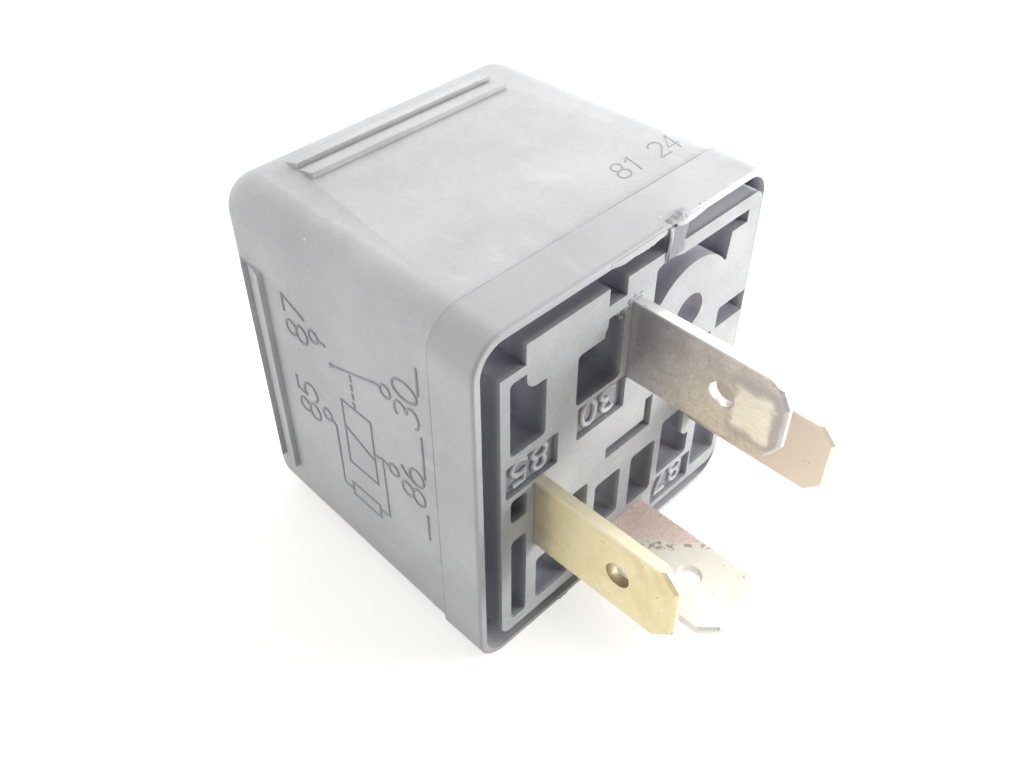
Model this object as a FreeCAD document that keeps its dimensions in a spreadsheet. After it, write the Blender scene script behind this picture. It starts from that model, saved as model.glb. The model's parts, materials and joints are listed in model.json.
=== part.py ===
import FreeCAD, Part
import math
import os
import re
import Sketcher

# A plug-in power relay lying on its side. Its four blades point to -Y, +X is across and +Z is up.
# Bodies are drawn about the housing's own centre line, with y = 0 at the cover's rim.

V = FreeCAD.Vector

# Driving dimensions in millimetres and degrees
SIZES = {
    # Cover
    "cover_width": 27.5,
    "cover_height": 29.8,
    "cover_depth": 25.5,
    "cover_wall": 1.1,
    "rim_wall": 0.55,
    "rim_round": 0.2,
    "skirt_depth": 3.75,
    "skirt_step": 0.17,
    "draft": 1.16,
    "edge_radius": 2.5,
    "end_radius": 2.3,
    "cavity_radius": 1.6,
    "grip_rise": 0.42,
    "grip_fall": 0.45,
    "grip_root": 1.0,
    "grip_slope": 1.0,
    "top_grip_start": 20.0,
    "top_grip_pitch": 1.75,
    "top_grip_width": 17.6,
    "side_grip_start": 21.1,
    "side_grip_pitch": 1.85,
    "side_grip_width": 18.8,
    "side_grip_shift": 0.75,
    "snap_height": 0.3,
    "snap_length": 0.7,
    "snap_width": 8.0,
    # Clearances
    "fit_gap": 0.05,
    "slot_gap": 0.03,
    # Base moulding
    "seat_depth": 4.6,
    "flange_front": 2.6,
    "flange_radius": 1.9,
    "face_proud": 0.2,
    "face_radius": 0.9,
    "groove_left": 1.3,
    "groove_right": 0.4,
    "groove_low": 1.55,
    "groove_high": 1.2,
    "pocket_depth": 3.2,
    "pocket_radius": 0.35,
    "recess_depth": 0.45,
    "key_depth": 0.6,
    "label_width": 4.65,
    "label_height": 2.85,
    "label_radius": 0.15,
    "corner_notch_width": 2.1,
    "corner_notch_height": 1.5,
    "top_notch_left": 2.75,
    "top_notch_right": 1.1,
    "top_notch_height": 1.35,
    "side_notch_width": 3.15,
    "side_notch_low": 2.85,
    "side_notch_high": 4.65,
    "boss_across": 5.95,
    "boss_up": 6.45,
    "boss_radius": 4.25,
    "boss_hole_radius": 1.45,
    "boss_hole_depth": 2.6,
    "tower_rise": 1.6,
    "tower_wall": 0.9,
    # Blades
    "blade_width": 6.3,
    "blade_thick": 0.8,
    "blade_reach": 11.7,
    "blade_tip_cut": 1.1,
    "blade_tip_bevel": 0.22,
    "blade_hole_radius": 0.88,
    "blade_hole_place": 7.3,
    "side_blade_spread": 8.46,
    "side_blade_up": -1.9,
    "common_blade_inset": 6.55,
    "contact_blade_inset": 3.61,
    "tag_rise": 5.0,
    "tag_width": 3.6,
    "foot_length": 4.8,
    # Coil
    "coil_side_gap": 1.06,
    "core_shoulder": 0.5,
    "rivet_head": 0.6,
    "rivet_rise": 0.6,
    "pole_overhang": 1.4,
    "pole_thick": 1.1,
    "spool_wall": 0.9,
    "spool_length": 11.9,
    "flange_thick": 1.1,
    "flange_corner": 1.6,
    "winding_recess": 0.55,
    "winding_build": 2.3,
    "winding_round": 0.4,
    "tape_thick": 0.15,
    # Iron circuit
    "iron_half_width": 6.5,
    "yoke_thick": 1.7,
    "yoke_gap": 0.4,
    "yoke_tail": 5.8,
    "tail_room": 0.39,
    "lug_place": 8.6,
    "lug_thick": 1.0,
    "ear_width": 2.6,
    "ear_height": 2.2,
    "ear_up": 3.5,
    "guide_width": 1.0,
    "guide_rise": 1.2,
    "air_gap": 0.05,
    "armature_thick": 1.5,
    "armature_room": 1.1,
    "armature_end_half": 4.6,
    "open_angle": 3.0,
    "neck_half": 0.4,
    "neck_length": 2.4,
    "head_half": 1.2,
    "head_length": 0.7,
    # Contacts
    "contact_margin": 0.14,
    "leaf_thick": 0.3,
    "leaf_half_width": 6.3,
    "leaf_waist": 4.6,
    "leaf_tip_half": 2.4,
    "leaf_above_pins": 3.0,
    "leaf_tip_margin": 1.7,
    "wing_reach": 6.4,
    "wing_low": 0.9,
    "wing_high": 1.1,
    "braid_tab": 8.9,
    "braid_tab_height": 2.4,
    "braid_tab_lift": 3.3,
    "contact_radius": 1.5,
    "contact_rise": 0.9,
    "moving_contact_rise": 1.1,
    "contact_touch": 0.03,
    "contact_shank": 0.75,
    "contact_head": 1.2,
    "contact_head_rise": 0.4,
    "strip_half_width": 2.6,
    "pin_across": 5.6,
    "pin_lift": 7.4,
    "pin_shank": 0.45,
    "pin_head": 0.75,
    "pin_rise": 0.4,
    # Stop, spring, resistor and wires
    "stop_across": -6.0,
    "stop_width": 3.0,
    "stop_thick": 0.5,
    "stop_root": 1.0,
    "stop_overlap": 1.2,
    "stop_gap": 0.06,
    "spring_radius": 1.1,
    "spring_wire": 0.18,
    "spring_turns": 6,
    "resistor_radius": 1.2,
    "resistor_waist": 1.0,
    "resistor_length": 6.4,
    "resistor_cap": 1.4,
    "resistor_place": 9.2,
    "resistor_wire": 0.3,
    "lead_wire": 0.14,
    "lead_place": 9.0,
    "lead_bend": 0.35,
    "braid_radius": 0.6,
    "braid_bend": 3.2,
}

# Rectangular pockets of the base's face: left, right, low and high from the centre line
POCKETS = {
    "upper": (-11.1, -8.06, 4.97, 10.93),
    "common": (-5.3, -1.1, 5.27, 9.47),
    "common_top": (-2.9, -1.1, 8.5, 10.85),
    "small": (-11.05, -9.58, -1.25, 0.9),
    "tall": (-11.0, -9.58, -11.75, -3.15),
    "low": (-8.57, -5.2, -11.65, -7.1),
    "first_slot": (-5.3, -3.5, -6.2, -3.15),
    "second_slot": (-2.65, 0.07, -9.1, -4.35),
    "third_slot": (1.26, 3.98, -9.7, -4.35),
    "wide_slot": (4.67, 8.3, -8.88, -3.15),
    "corner_slot": (9.24, 12.4, -11.4, -3.9),
}

# Places where the face stays whole beside its pockets, drawn the same way
PLATEAUS = {
    "gate": (-9.73, -2.67, 9.57, 11.6),
    "root": (7.35, 9.2, -6.7, -2.9),
}

# Centres of the recesses that hold the blade numbers: across and up
LABELS = {
    "label_85": (-9.15, 2.82),
    "label_30": (-2.72, 3.46),
    "label_86": (6.8, 1.55),
    "label_87": (6.75, -10.78),
}

# Corners of the angled key mark and of the channel over the round boss: across and up
KEY_MARK = [(-1.82, -2.12), (2.95, -2.12), (2.95, 0.92), (2.15, 0.92), (2.15, -1.05), (-1.82, -1.05)]
CHANNEL = [
    (1.74, 9.0),
    (9.55, 9.0),
    (9.75, 11.1),
    (11.42, 11.1),
    (11.42, 12.08),
    (4.4, 12.08),
    (2.7, 12.5),
    (1.74, 12.1),
]

for group in (POCKETS, PLATEAUS):
    for place, sides in group.items():
        for side, size in zip(("left", "right", "low", "high"), sides):
            SIZES[f"{place}_{side}"] = size
for place, centre in LABELS.items():
    for side, size in zip(("across", "up"), centre):
        SIZES[f"{place}_{side}"] = size
for place, corners in (("key", KEY_MARK), ("channel", CHANNEL)):
    for turn, corner in enumerate(corners, start=1):
        for side, size in zip(("across", "up"), corner):
            SIZES[f"{place}_{turn}_{side}"] = size

# Formulas that several pieces share
RIM_Y = "-(cover_depth - blade_reach) / 2"
BODY_HALF_X = "(cover_width / 2 - skirt_step)"
BODY_HALF_Z = "(cover_height / 2 - skirt_step)"
MOUTH_HALF_X = "(cover_width / 2 - rim_wall)"
MOUTH_HALF_Z = "(cover_height / 2 - rim_wall)"
CAVITY_END = "(cover_depth - cover_wall)"
FOOT_BASE = "(seat_depth + fit_gap)"
YOKE_BASE = f"({FOOT_BASE} + blade_thick)"
SPOOL_BASE = f"({YOKE_BASE} + yoke_thick + fit_gap)"
SPOOL_TOP = f"({SPOOL_BASE} + spool_length)"
POLE_BASE = f"({SPOOL_TOP} + fit_gap)"
HINGE_Y = f"({POLE_BASE} + pole_thick)"
CAVITY_HALF_Z = f"({BODY_HALF_Z} - cover_wall - (cover_depth - skirt_depth) * tan(draft))"
HINGE_Z = f"({CAVITY_HALF_Z} - tail_room - neck_length - head_length)"
YOKE_INNER = f"({HINGE_Z} - yoke_thick)"
COMMON_Z = f"({MOUTH_HALF_Z} - common_blade_inset)"
BLADE_Z = f"(contact_blade_inset - {MOUTH_HALF_Z})"
CONTACT_Z = f"({BLADE_Z} + blade_thick / 2 + contact_margin + contact_radius)"
COIL_TOP = f"({YOKE_INNER} - yoke_gap)"
FLANGE_HALF = "(side_blade_spread - blade_thick / 2 - coil_side_gap)"
COIL_Z = f"({COIL_TOP} - {FLANGE_HALF})"
COIL_LOW = f"({COIL_Z} - {FLANGE_HALF})"
WINDING_RADIUS = f"({FLANGE_HALF} - winding_recess)"
SPOOL_RADIUS = f"({WINDING_RADIUS} - winding_build)"
CORE_RADIUS = f"({SPOOL_RADIUS} - spool_wall - fit_gap)"
NECK_RADIUS = f"({CORE_RADIUS} - core_shoulder)"
POLE_RADIUS = f"({CORE_RADIUS} + pole_overhang)"
CONTACT_DROP = f"({HINGE_Z} - {CONTACT_Z})"
ARMATURE_DROP = f"({CONTACT_DROP} - contact_radius - armature_room)"
PIN_DROP = f"({ARMATURE_DROP} - pin_lift)"
TAB_DROP = f"({ARMATURE_DROP} - braid_tab_lift)"
LEAF_TOP_DROP = f"({PIN_DROP} - leaf_above_pins)"
RIVET_RADIUS = f"({NECK_RADIUS} + rivet_head)"
RESISTOR_Z = f"(({COIL_LOW} + {BLADE_Z} + blade_thick / 2) / 2)"
LEAF_BASE = "(air_gap + armature_thick)"
LEAF_TOP = f"({LEAF_BASE} + leaf_thick)"
FIXED_TOP = f"({HINGE_Y} + {LEAF_BASE} - moving_contact_rise - contact_touch)"
SHELF_TOP = f"({FIXED_TOP} - contact_rise)"
TAG_TOP = "(seat_depth + tag_rise)"
SPRING_Z = f"({HINGE_Z} + neck_length / 2 + 0.5 * spring_wire)"

doc = FreeCAD.newDocument("relay")
sheet = doc.addObject("Spreadsheet::Sheet", "sizes")
for row, (name, size) in enumerate(SIZES.items(), start=1):
    sheet.set(f"A{row}", name)
    sheet.set(f"B{row}", str(size))
    sheet.setAlias(f"B{row}", name)
doc.recompute()


def bound(text):
    """Point each size name of a formula at its cell, so that any object can read it."""
    return re.sub(r"[a-z][a-z0-9_]*", lambda word: "sizes." + word[0] if word[0] in SIZES else word[0], text)


def number(text):
    """Work a formula out from the cells."""
    return float(sheet.evalExpression(bound(text)))


def below(depth):
    """How far the drafted wall has moved in at a depth past the skirt."""
    return f"(({depth}) - skirt_depth) * tan(draft)"


def new_body(label, across="0", along="0", up="0"):
    """Start a body whose own origin lies on the centre line, moved by the given distances."""
    body = doc.addObject("PartDesign::Body", label)
    body.Label = label
    body.setExpression("Placement.Base.x", bound(across))
    body.setExpression("Placement.Base.y", bound(f"{RIM_Y} + {along}"))
    body.setExpression("Placement.Base.z", bound(f"cover_height / 2 + {up}"))
    return body


def hinged_body(label, across="0", up="0"):
    """Start a body drawn as if closed, about the hinge edge, and swung open to its rest angle."""
    body = doc.addObject("PartDesign::Body", label)
    body.Label = label
    body.Placement = FreeCAD.Placement(V(), FreeCAD.Rotation(V(1, 0, 0), number("open_angle")))
    body.setExpression("Placement.Base.x", bound(across))
    body.setExpression("Placement.Base.y", bound(f"{RIM_Y} + {HINGE_Y} - sin(open_angle) * ({up})"))
    body.setExpression("Placement.Base.z", bound(f"cover_height / 2 + {HINGE_Z} + cos(open_angle) * ({up})"))
    return body


def new_sketch(body, name, plane, offset="0"):
    """Put a sketch on one of the body's own planes, moved along +X, +Y or +Z."""
    sketch = body.newObject("Sketcher::SketchObject", f"{body.Name}_{name}")
    base = next(item for item in body.Origin.OriginFeatures if item.Role == f"{plane}_Plane")
    sketch.AttachmentSupport = [(base, "")]
    sketch.MapMode = "FlatFace"
    sign = "-" if plane == "XZ" else ""
    sketch.setExpression("AttachmentOffset.Base.z", bound(f"{sign}({offset})"))
    return sketch


def bind(sketch, kind, *ends, size):
    """Add a dimension whose value is a formula."""
    index = sketch.addConstraint(Sketcher.Constraint(kind, *ends, number(size)))
    sketch.setExpression(f"Constraints[{index}]", bound(size))


def hold(sketch, edge, end, across, up):
    """Fix a point of an outline by its two distances from the sketch's origin."""
    for kind, axis, size in (("DistanceX", -2, across), ("DistanceY", -1, up)):
        if size == "0":
            sketch.addConstraint(Sketcher.Constraint("PointOnObject", edge, end, axis))
        else:
            bind(sketch, kind, -1, 1, edge, end, size=size)


def polygon(sketch, corners):
    """Draw a closed outline of straight lines through corners given as formulas."""
    first = sketch.GeometryCount
    count = len(corners)
    points = [V(number(across), number(up), 0) for across, up in corners]
    for turn in range(count):
        sketch.addGeometry(Part.LineSegment(points[turn], points[(turn + 1) % count]), False)
    for turn in range(count):
        following = first + (turn + 1) % count
        sketch.addConstraint(Sketcher.Constraint("Coincident", first + turn, 2, following, 1))
    for turn, (across, up) in enumerate(corners):
        hold(sketch, first + turn, 1, across, up)


def disc(sketch, across, up, radius):
    """Draw a circle."""
    centre = V(number(across), number(up), 0)
    edge = sketch.addGeometry(Part.Circle(centre, V(0, 0, 1), number(radius)), False)
    hold(sketch, edge, 3, across, up)
    bind(sketch, "Radius", edge, size=radius)


def rounded(sketch, left, right, low, high, radius):
    """Draw a rectangle with round corners."""
    first = sketch.GeometryCount
    west, east, south, north, bend = (number(text) for text in (left, right, low, high, radius))
    ends = [
        ((west + bend, south), (east - bend, south)),
        ((east, south + bend), (east, north - bend)),
        ((east - bend, north), (west + bend, north)),
        ((west, north - bend), (west, south + bend)),
    ]
    centres = [
        (east - bend, south + bend),
        (east - bend, north - bend),
        (west + bend, north - bend),
        (west + bend, south + bend),
    ]
    for start, end in ends:
        sketch.addGeometry(Part.LineSegment(V(*start, 0), V(*end, 0)), False)
    for turn, centre in enumerate(centres):
        circle = Part.Circle(V(*centre, 0), V(0, 0, 1), bend)
        begin = (turn - 1) * math.pi / 2
        sketch.addGeometry(Part.ArcOfCircle(circle, begin, begin + math.pi / 2), False)
    for turn in range(4):
        line, arc, following = first + turn, first + 4 + turn, first + (turn + 1) % 4
        sketch.addConstraint(Sketcher.Constraint("Tangent", line, 2, arc, 1))
        sketch.addConstraint(Sketcher.Constraint("Tangent", arc, 2, following, 1))
        level = "Vertical" if turn % 2 else "Horizontal"
        sketch.addConstraint(Sketcher.Constraint(level, line))
        if turn:
            sketch.addConstraint(Sketcher.Constraint("Equal", first + 4, arc))
    bind(sketch, "Radius", first + 4, size=radius)
    bind(sketch, "DistanceY", -1, 1, first, 1, size=low)
    bind(sketch, "DistanceX", -1, 1, first + 1, 1, size=right)
    bind(sketch, "DistanceY", -1, 1, first + 2, 1, size=high)
    bind(sketch, "DistanceX", -1, 1, first + 3, 1, size=left)


def centred(sketch, half_across, half_up, radius):
    """Draw a rounded rectangle about the origin."""
    rounded(sketch, f"-({half_across})", half_across, f"-({half_up})", half_up, radius)


def extrude(kind, sketch, length, middle=False, back=False):
    """Pad or cut an outline: along +X, +Y or +Z, or to both sides alike."""
    body = sketch.getParentGeoFeatureGroup()
    item = body.newObject(f"PartDesign::{kind}", f"{sketch.Name}_{kind}")
    item.Profile = sketch
    item.setExpression("Length", bound(length))
    if middle:
        item.SideType = "Symmetric"
    normal_is_back = "XZ_Plane" in sketch.AttachmentSupport[0][0].Role
    item.Reversed = (normal_is_back != back) if kind == "Pad" else (normal_is_back == back)
    doc.recompute()
    return item


def pad(sketch, length, middle=False):
    return extrude("Pad", sketch, length, middle)


def cut(sketch, length, middle=False):
    return extrude("Pocket", sketch, length, middle)


def wedge(body, kind, near, far, inset):
    """A drafted block between two depths, set in from the cover's body on all four sides."""
    item = body.newObject(f"PartDesign::{kind}", f"{body.Name}_{kind}")
    item.setExpression("Ymin", bound(near))
    item.setExpression("Ymax", bound(far))
    for level, depth in (("", near), ("2", far)):
        for axis, half in (("X", BODY_HALF_X), ("Z", BODY_HALF_Z)):
            reach = f"({half} - ({inset}) - {below(depth)})"
            item.setExpression(f"{axis}{level}min", bound(f"-{reach}"))
            item.setExpression(f"{axis}{level}max", bound(reach))
    doc.recompute()
    return item


def turned(body, name, corners):
    """Turn an outline of lengths along Y and radii about the body's own Y axis."""
    sketch = new_sketch(body, name, "YZ")
    polygon(sketch, corners)
    item = body.newObject("PartDesign::Revolution", f"{sketch.Name}_Revolution")
    item.Profile = sketch
    item.ReferenceAxis = (sketch, ["H_Axis"])
    item.Angle = 360
    doc.recompute()
    return item


def dress(kind, feature, wanted, size, field):
    """Round or bevel the edges for which the test holds."""
    body = feature.getParentGeoFeatureGroup()
    edges = [f"Edge{place}" for place, edge in enumerate(feature.Shape.Edges, start=1) if wanted(edge)]
    item = body.newObject(f"PartDesign::{kind}", f"{feature.Name}_{kind}")
    item.Base = (feature, edges)
    item.setExpression(field, bound(size))
    doc.recompute()
    return item


def all_at(edge, level):
    """True for an edge that lies wholly at one depth."""
    return all(abs(point.y - level) < 0.001 for point in edge.discretize(5))


def route(points, bend):
    """Straight runs through the points, joined by tangent arcs."""
    edges = []
    start = points[0]
    for before, corner, after in zip(points, points[1:], points[2:]):
        toward = (before - corner).normalize()
        away = (after - corner).normalize()
        half_turn = toward.getAngle(away) / 2
        trim = bend / math.tan(half_turn)
        middle = corner + (toward + away).normalize() * (bend / math.sin(half_turn) - bend)
        arc_start, arc_end = corner + toward * trim, corner + away * trim
        edges.append(Part.LineSegment(start, arc_start).toShape())
        edges.append(Part.Arc(arc_start, middle, arc_end).toShape())
        start = arc_end
    edges.append(Part.LineSegment(start, points[-1]).toShape())
    return Part.Wire(edges)


def ring(centre, direction, radius, sides):
    """A round wire's section, drawn with flat sides."""
    turn = 2 * math.pi / sides
    across = direction.cross(V(0, 0, 1) if abs(direction.z) < 0.9 else V(1, 0, 0)).normalize()
    up = direction.cross(across).normalize()
    angles = [turn * (step + 0.5) for step in range(sides)]
    corners = [centre + across * (radius * math.cos(angle)) + up * (radius * math.sin(angle)) for angle in angles]
    return Part.makePolygon(corners + corners[:1])


def piped(path, radius, sides):
    """A bar along a wire."""
    start = path.Edges[0]
    direction = start.tangentAt(start.FirstParameter)
    section = ring(start.valueAt(start.FirstParameter), direction, radius, sides)
    return path.makePipeShell([section], True, True)


def bar(label, points, radius, bend="1", sides=6):
    """A wire or cable as a node of its own, from points given as three formulas each."""
    places = [V(*(number(text) for text in point)) for point in points]
    feature = doc.addObject("Part::Feature", label)
    feature.Label = label
    feature.Shape = piped(route(places, number(bend)), number(radius), sides)
    feature.Placement = FreeCAD.Placement(V(0, number(RIM_Y), number("cover_height / 2")), FreeCAD.Rotation())
    return feature


def make_cover():
    """The drafted cover with its skirt, its finger grips and the seat for the base."""
    body = new_body("cover")
    block = wedge(body, "AdditiveWedge", "skirt_depth / 2", "cover_depth", "0")
    long = 0.9 * number("cover_depth - skirt_depth / 2")
    sides = dress("Fillet", block, lambda edge: edge.BoundBox.YLength > long, "edge_radius", "Radius")
    end = number("cover_depth")
    dress("Fillet", sides, lambda edge: all_at(edge, end), "end_radius", "Radius")
    skirt_front = new_sketch(body, "skirt", "XZ")
    centred(skirt_front, "cover_width / 2", "cover_height / 2", "edge_radius")
    skirt = pad(skirt_front, "skirt_depth")
    dress("Fillet", skirt, lambda edge: all_at(edge, 0), "rim_round", "Radius")

    for name, plane, half, start, width, shift in (
        ("top", "YZ", BODY_HALF_Z, "top_grip_start", "top_grip_width", "0"),
        ("side", "XY", BODY_HALF_X, "side_grip_start", "side_grip_width", "-side_grip_shift"),
    ):
        for sign in ("", "-"):
            grips = new_sketch(body, f"{name}_grip{len(sign)}", plane, shift)
            second = f"({start} + {name}_grip_pitch)"
            stop = "(cover_depth - grip_slope)"
            teeth = [
                (start, f"{half} - grip_root"),
                (start, f"{half} - {below(start)} + grip_rise"),
                (second, f"{half} - {below(second)}"),
                (second, f"{half} - {below(second)} + grip_rise"),
                (stop, f"{half} - {below(stop)} - grip_fall"),
                (stop, f"{half} - 2 * grip_root"),
            ]
            heights = [(along, f"{sign}({height})") for along, height in teeth]
            if plane == "XY":
                heights = [(height, along) for along, height in heights]
            polygon(grips, heights)
            pad(grips, width, middle=True)

    mouth = new_sketch(body, "mouth", "XZ")
    centred(mouth, MOUTH_HALF_X, MOUTH_HALF_Z, "flange_radius")
    cut(mouth, "seat_depth")
    cavity = wedge(body, "SubtractiveWedge", "seat_depth", CAVITY_END, "cover_wall")
    floor, seat = number(CAVITY_END), number("seat_depth")

    def inner_corner(edge):
        box = edge.BoundBox
        return abs(box.YMax - floor) < 0.01 and abs(box.YMin - seat) < 0.01

    dress("Fillet", cavity, inner_corner, "cavity_radius", "Radius")

    snaps = new_sketch(body, "snaps", "XY")
    back = "(flange_front - fit_gap)"
    for sign in ("", "-"):
        wall = f"{sign}({MOUTH_HALF_X} + rim_wall / 2)"
        tip = f"{sign}({MOUTH_HALF_X} - snap_height)"
        root = f"{sign}({MOUTH_HALF_X})"
        slope = f"{back} - snap_length"
        polygon(snaps, [(wall, slope), (root, slope), (tip, back), (wall, back)])
    pad(snaps, "snap_width", middle=True)


def make_base():
    """The header that carries the blades: a moulded face full of pockets on a sealing flange."""
    body = new_body("base")
    flange = new_sketch(body, "flange", "XZ", "flange_front")
    half_x = f"{MOUTH_HALF_X} - fit_gap"
    half_z = f"{MOUTH_HALF_Z} - fit_gap"
    centred(flange, half_x, half_z, "flange_radius - fit_gap")
    pad(flange, "seat_depth - flange_front")

    left = f"-({MOUTH_HALF_X} - groove_left)"
    right = f"({MOUTH_HALF_X} - groove_right)"
    low = f"-({MOUTH_HALF_Z} - groove_low)"
    high = f"({MOUTH_HALF_Z} - groove_high)"
    face = new_sketch(body, "face", "XZ", "-face_proud")
    rounded(face, left, right, low, high, "face_radius")
    pad(face, "face_proud + flange_front")

    notches = new_sketch(body, "notches", "XZ", "-face_proud")
    beyond = "2 * face_radius"
    polygon(notches, [
        (f"{left} - {beyond}", f"{high} - corner_notch_height"),
        (f"{left} + corner_notch_width", f"{high} - corner_notch_height"),
        (f"{left} + corner_notch_width", f"{high} + {beyond}"),
        (f"{left} - {beyond}", f"{high} + {beyond}"),
    ])
    polygon(notches, [
        ("-top_notch_left", f"{high} - top_notch_height"),
        ("-top_notch_right", f"{high} - top_notch_height"),
        ("-top_notch_right", f"{high} + {beyond}"),
        ("-top_notch_left", f"{high} + {beyond}"),
    ])
    polygon(notches, [
        (f"{right} - side_notch_width", "side_notch_low"),
        (f"{right} + {beyond}", "side_notch_low"),
        (f"{right} + {beyond}", "side_notch_high"),
        (f"{right} - side_notch_width", "side_notch_high"),
    ])
    cut(notches, "face_proud + flange_front")

    for place in POCKETS:
        pocket = new_sketch(body, f"{place}_pocket", "XZ", "-face_proud")
        sides = [f"{place}_{side}" for side in ("left", "right", "low", "high")]
        rounded(pocket, *sides, "pocket_radius")
        cut(pocket, "pocket_depth")
    channel = new_sketch(body, "channel", "XZ", "-face_proud")
    count = len(CHANNEL)
    polygon(channel, [(f"channel_{turn}_across", f"channel_{turn}_up") for turn in range(1, count + 1)])
    cut(channel, "pocket_depth")
    for place in PLATEAUS:
        plateau = new_sketch(body, f"{place}_plateau", "XZ", "-face_proud")
        sides = [f"{place}_{side}" for side in ("left", "right", "low", "high")]
        rounded(plateau, *sides, "face_radius")
        pad(plateau, "face_proud + flange_front")
    boss = new_sketch(body, "boss", "XZ", "-face_proud")
    disc(boss, "boss_across", "boss_up", "boss_radius")
    pad(boss, "face_proud + flange_front")
    boss_hole = new_sketch(body, "boss_hole", "XZ", "-face_proud")
    disc(boss_hole, "boss_across", "boss_up", "boss_hole_radius")
    cut(boss_hole, "boss_hole_depth")

    labels = new_sketch(body, "labels", "XZ", "-face_proud")
    for place in LABELS:
        across, up = f"{place}_across", f"{place}_up"
        rounded(
            labels,
            f"{across} - label_width / 2",
            f"{across} + label_width / 2",
            f"{up} - label_height / 2",
            f"{up} + label_height / 2",
            "label_radius",
        )
    cut(labels, "recess_depth")
    key = new_sketch(body, "key", "XZ", "-face_proud")
    polygon(key, [(f"key_{turn}_across", f"key_{turn}_up") for turn in range(1, len(KEY_MARK) + 1)])
    cut(key, "key_depth")

    towers = new_sketch(body, "towers", "XZ", "seat_depth")
    wall = "(blade_thick / 2 + slot_gap + tower_wall)"
    for sign in ("-", ""):
        place = f"{sign}side_blade_spread"
        reach = "(blade_width / 2 + slot_gap + tower_wall)"
        rounded(
            towers,
            f"{place} - {wall}",
            f"{place} + {wall}",
            f"side_blade_up - {reach}",
            f"side_blade_up + {reach}",
            "pocket_radius",
        )
    pad(towers, "tower_rise")

    slots = new_sketch(body, "slots", "XZ", "-2 * face_proud")
    flat = "(blade_thick / 2 + slot_gap)"
    wide = "(blade_width / 2 + slot_gap)"
    for across, up, half_x, half_z in (
        ("-side_blade_spread", "side_blade_up", flat, wide),
        ("side_blade_spread", "side_blade_up", flat, wide),
        ("0", COMMON_Z, flat, wide),
        ("0", BLADE_Z, wide, flat),
    ):
        polygon(slots, [
            (f"{across} - {half_x}", f"{up} - {half_z}"),
            (f"{across} + {half_x}", f"{up} - {half_z}"),
            (f"{across} + {half_x}", f"{up} + {half_z}"),
            (f"{across} - {half_x}", f"{up} + {half_z}"),
        ])
    cut(slots, "seat_depth + tower_rise + 4 * face_proud")

    stop_slot = new_sketch(body, "stop_slot", "XZ", "seat_depth - stop_root")
    half = "(stop_width / 2 + slot_gap)"
    depth = "(stop_thick / 2 + slot_gap)"
    polygon(stop_slot, [
        (f"stop_across - {half}", f"{BLADE_Z} - {depth}"),
        (f"stop_across + {half}", f"{BLADE_Z} - {depth}"),
        (f"stop_across + {half}", f"{BLADE_Z} + {depth}"),
        (f"stop_across - {half}", f"{BLADE_Z} + {depth}"),
    ])
    cut(stop_slot, "stop_root + slot_gap")


def blade_outline(end, shoulder):
    """Half the outline of a blade: its tip, its full width and where it ends inside."""
    return [
        ("-blade_reach", "-(blade_width / 2 - blade_tip_cut)"),
        ("-(blade_reach - blade_tip_cut)", "-blade_width / 2"),
        (shoulder, "-blade_width / 2"),
        (end, "-blade_width / 2"),
    ]


def finish_blade(body, feature, plane):
    """Bevel the tip for an easy start in the socket, and punch the latch hole."""
    half = number("blade_thick / 2")
    start = number("-(blade_reach - blade_tip_cut)") + 0.001

    def at_tip(edge):
        points = edge.discretize(3)
        level = [point.x if plane == "YZ" else point.z for point in points]
        flat = all(abs(abs(height) - half) < 0.001 for height in level)
        same_side = abs(level[0] - level[-1]) < 0.001
        return flat and same_side and all(point.y <= start for point in points)

    dress("Chamfer", feature, at_tip, "blade_tip_bevel", "Size")
    hole = new_sketch(body, "hole", plane)
    if plane == "YZ":
        disc(hole, "-blade_hole_place", "0", "blade_hole_radius")
    else:
        disc(hole, "0", "-blade_hole_place", "blade_hole_radius")
    cut(hole, "2 * blade_thick", middle=True)


def mirrored_outline(half_outline):
    """Close half an outline with its mirror image."""
    other = [(along, f"-({width})") for along, width in reversed(half_outline)]
    return half_outline + other


def make_side_terminal(label, sign):
    """A coil blade: flat through the base, then a narrow tag for the wires."""
    body = new_body(label, across=f"{sign}side_blade_spread", up="side_blade_up")
    outline = new_sketch(body, "outline", "YZ")
    shoulder = "(seat_depth + tower_rise)"
    half = [
        ("-blade_reach", "-(blade_width / 2 - blade_tip_cut)"),
        ("-(blade_reach - blade_tip_cut)", "-blade_width / 2"),
        (shoulder, "-blade_width / 2"),
        (shoulder, "-tag_width / 2"),
        (TAG_TOP, "-tag_width / 2"),
    ]
    polygon(outline, mirrored_outline(half))
    blade = pad(outline, "blade_thick", middle=True)
    finish_blade(body, blade, "YZ")


def make_common_terminal():
    """The upper blade, whose foot is bent flat under the yoke."""
    body = new_body("terminal_30", up=COMMON_Z)
    outline = new_sketch(body, "outline", "YZ")
    half = [
        ("-blade_reach", "-(blade_width / 2 - 1.5 * blade_tip_cut)"),
        ("-(blade_reach - 0.55 * blade_tip_cut)", "-(blade_width / 2 - 0.55 * blade_tip_cut)"),
        ("-(blade_reach - 1.5 * blade_tip_cut)", "-blade_width / 2"),
        (YOKE_BASE, "-blade_width / 2"),
    ]
    polygon(outline, mirrored_outline(half))
    blade = pad(outline, "blade_thick", middle=True)
    finish_blade(body, blade, "YZ")
    foot = new_sketch(body, "foot", "XZ", FOOT_BASE)
    polygon(foot, [
        ("-blade_thick / 2", "-blade_width / 2"),
        ("foot_length", "-blade_width / 2"),
        ("foot_length", "blade_width / 2"),
        ("-blade_thick / 2", "blade_width / 2"),
    ])
    pad(foot, "blade_thick")


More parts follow.
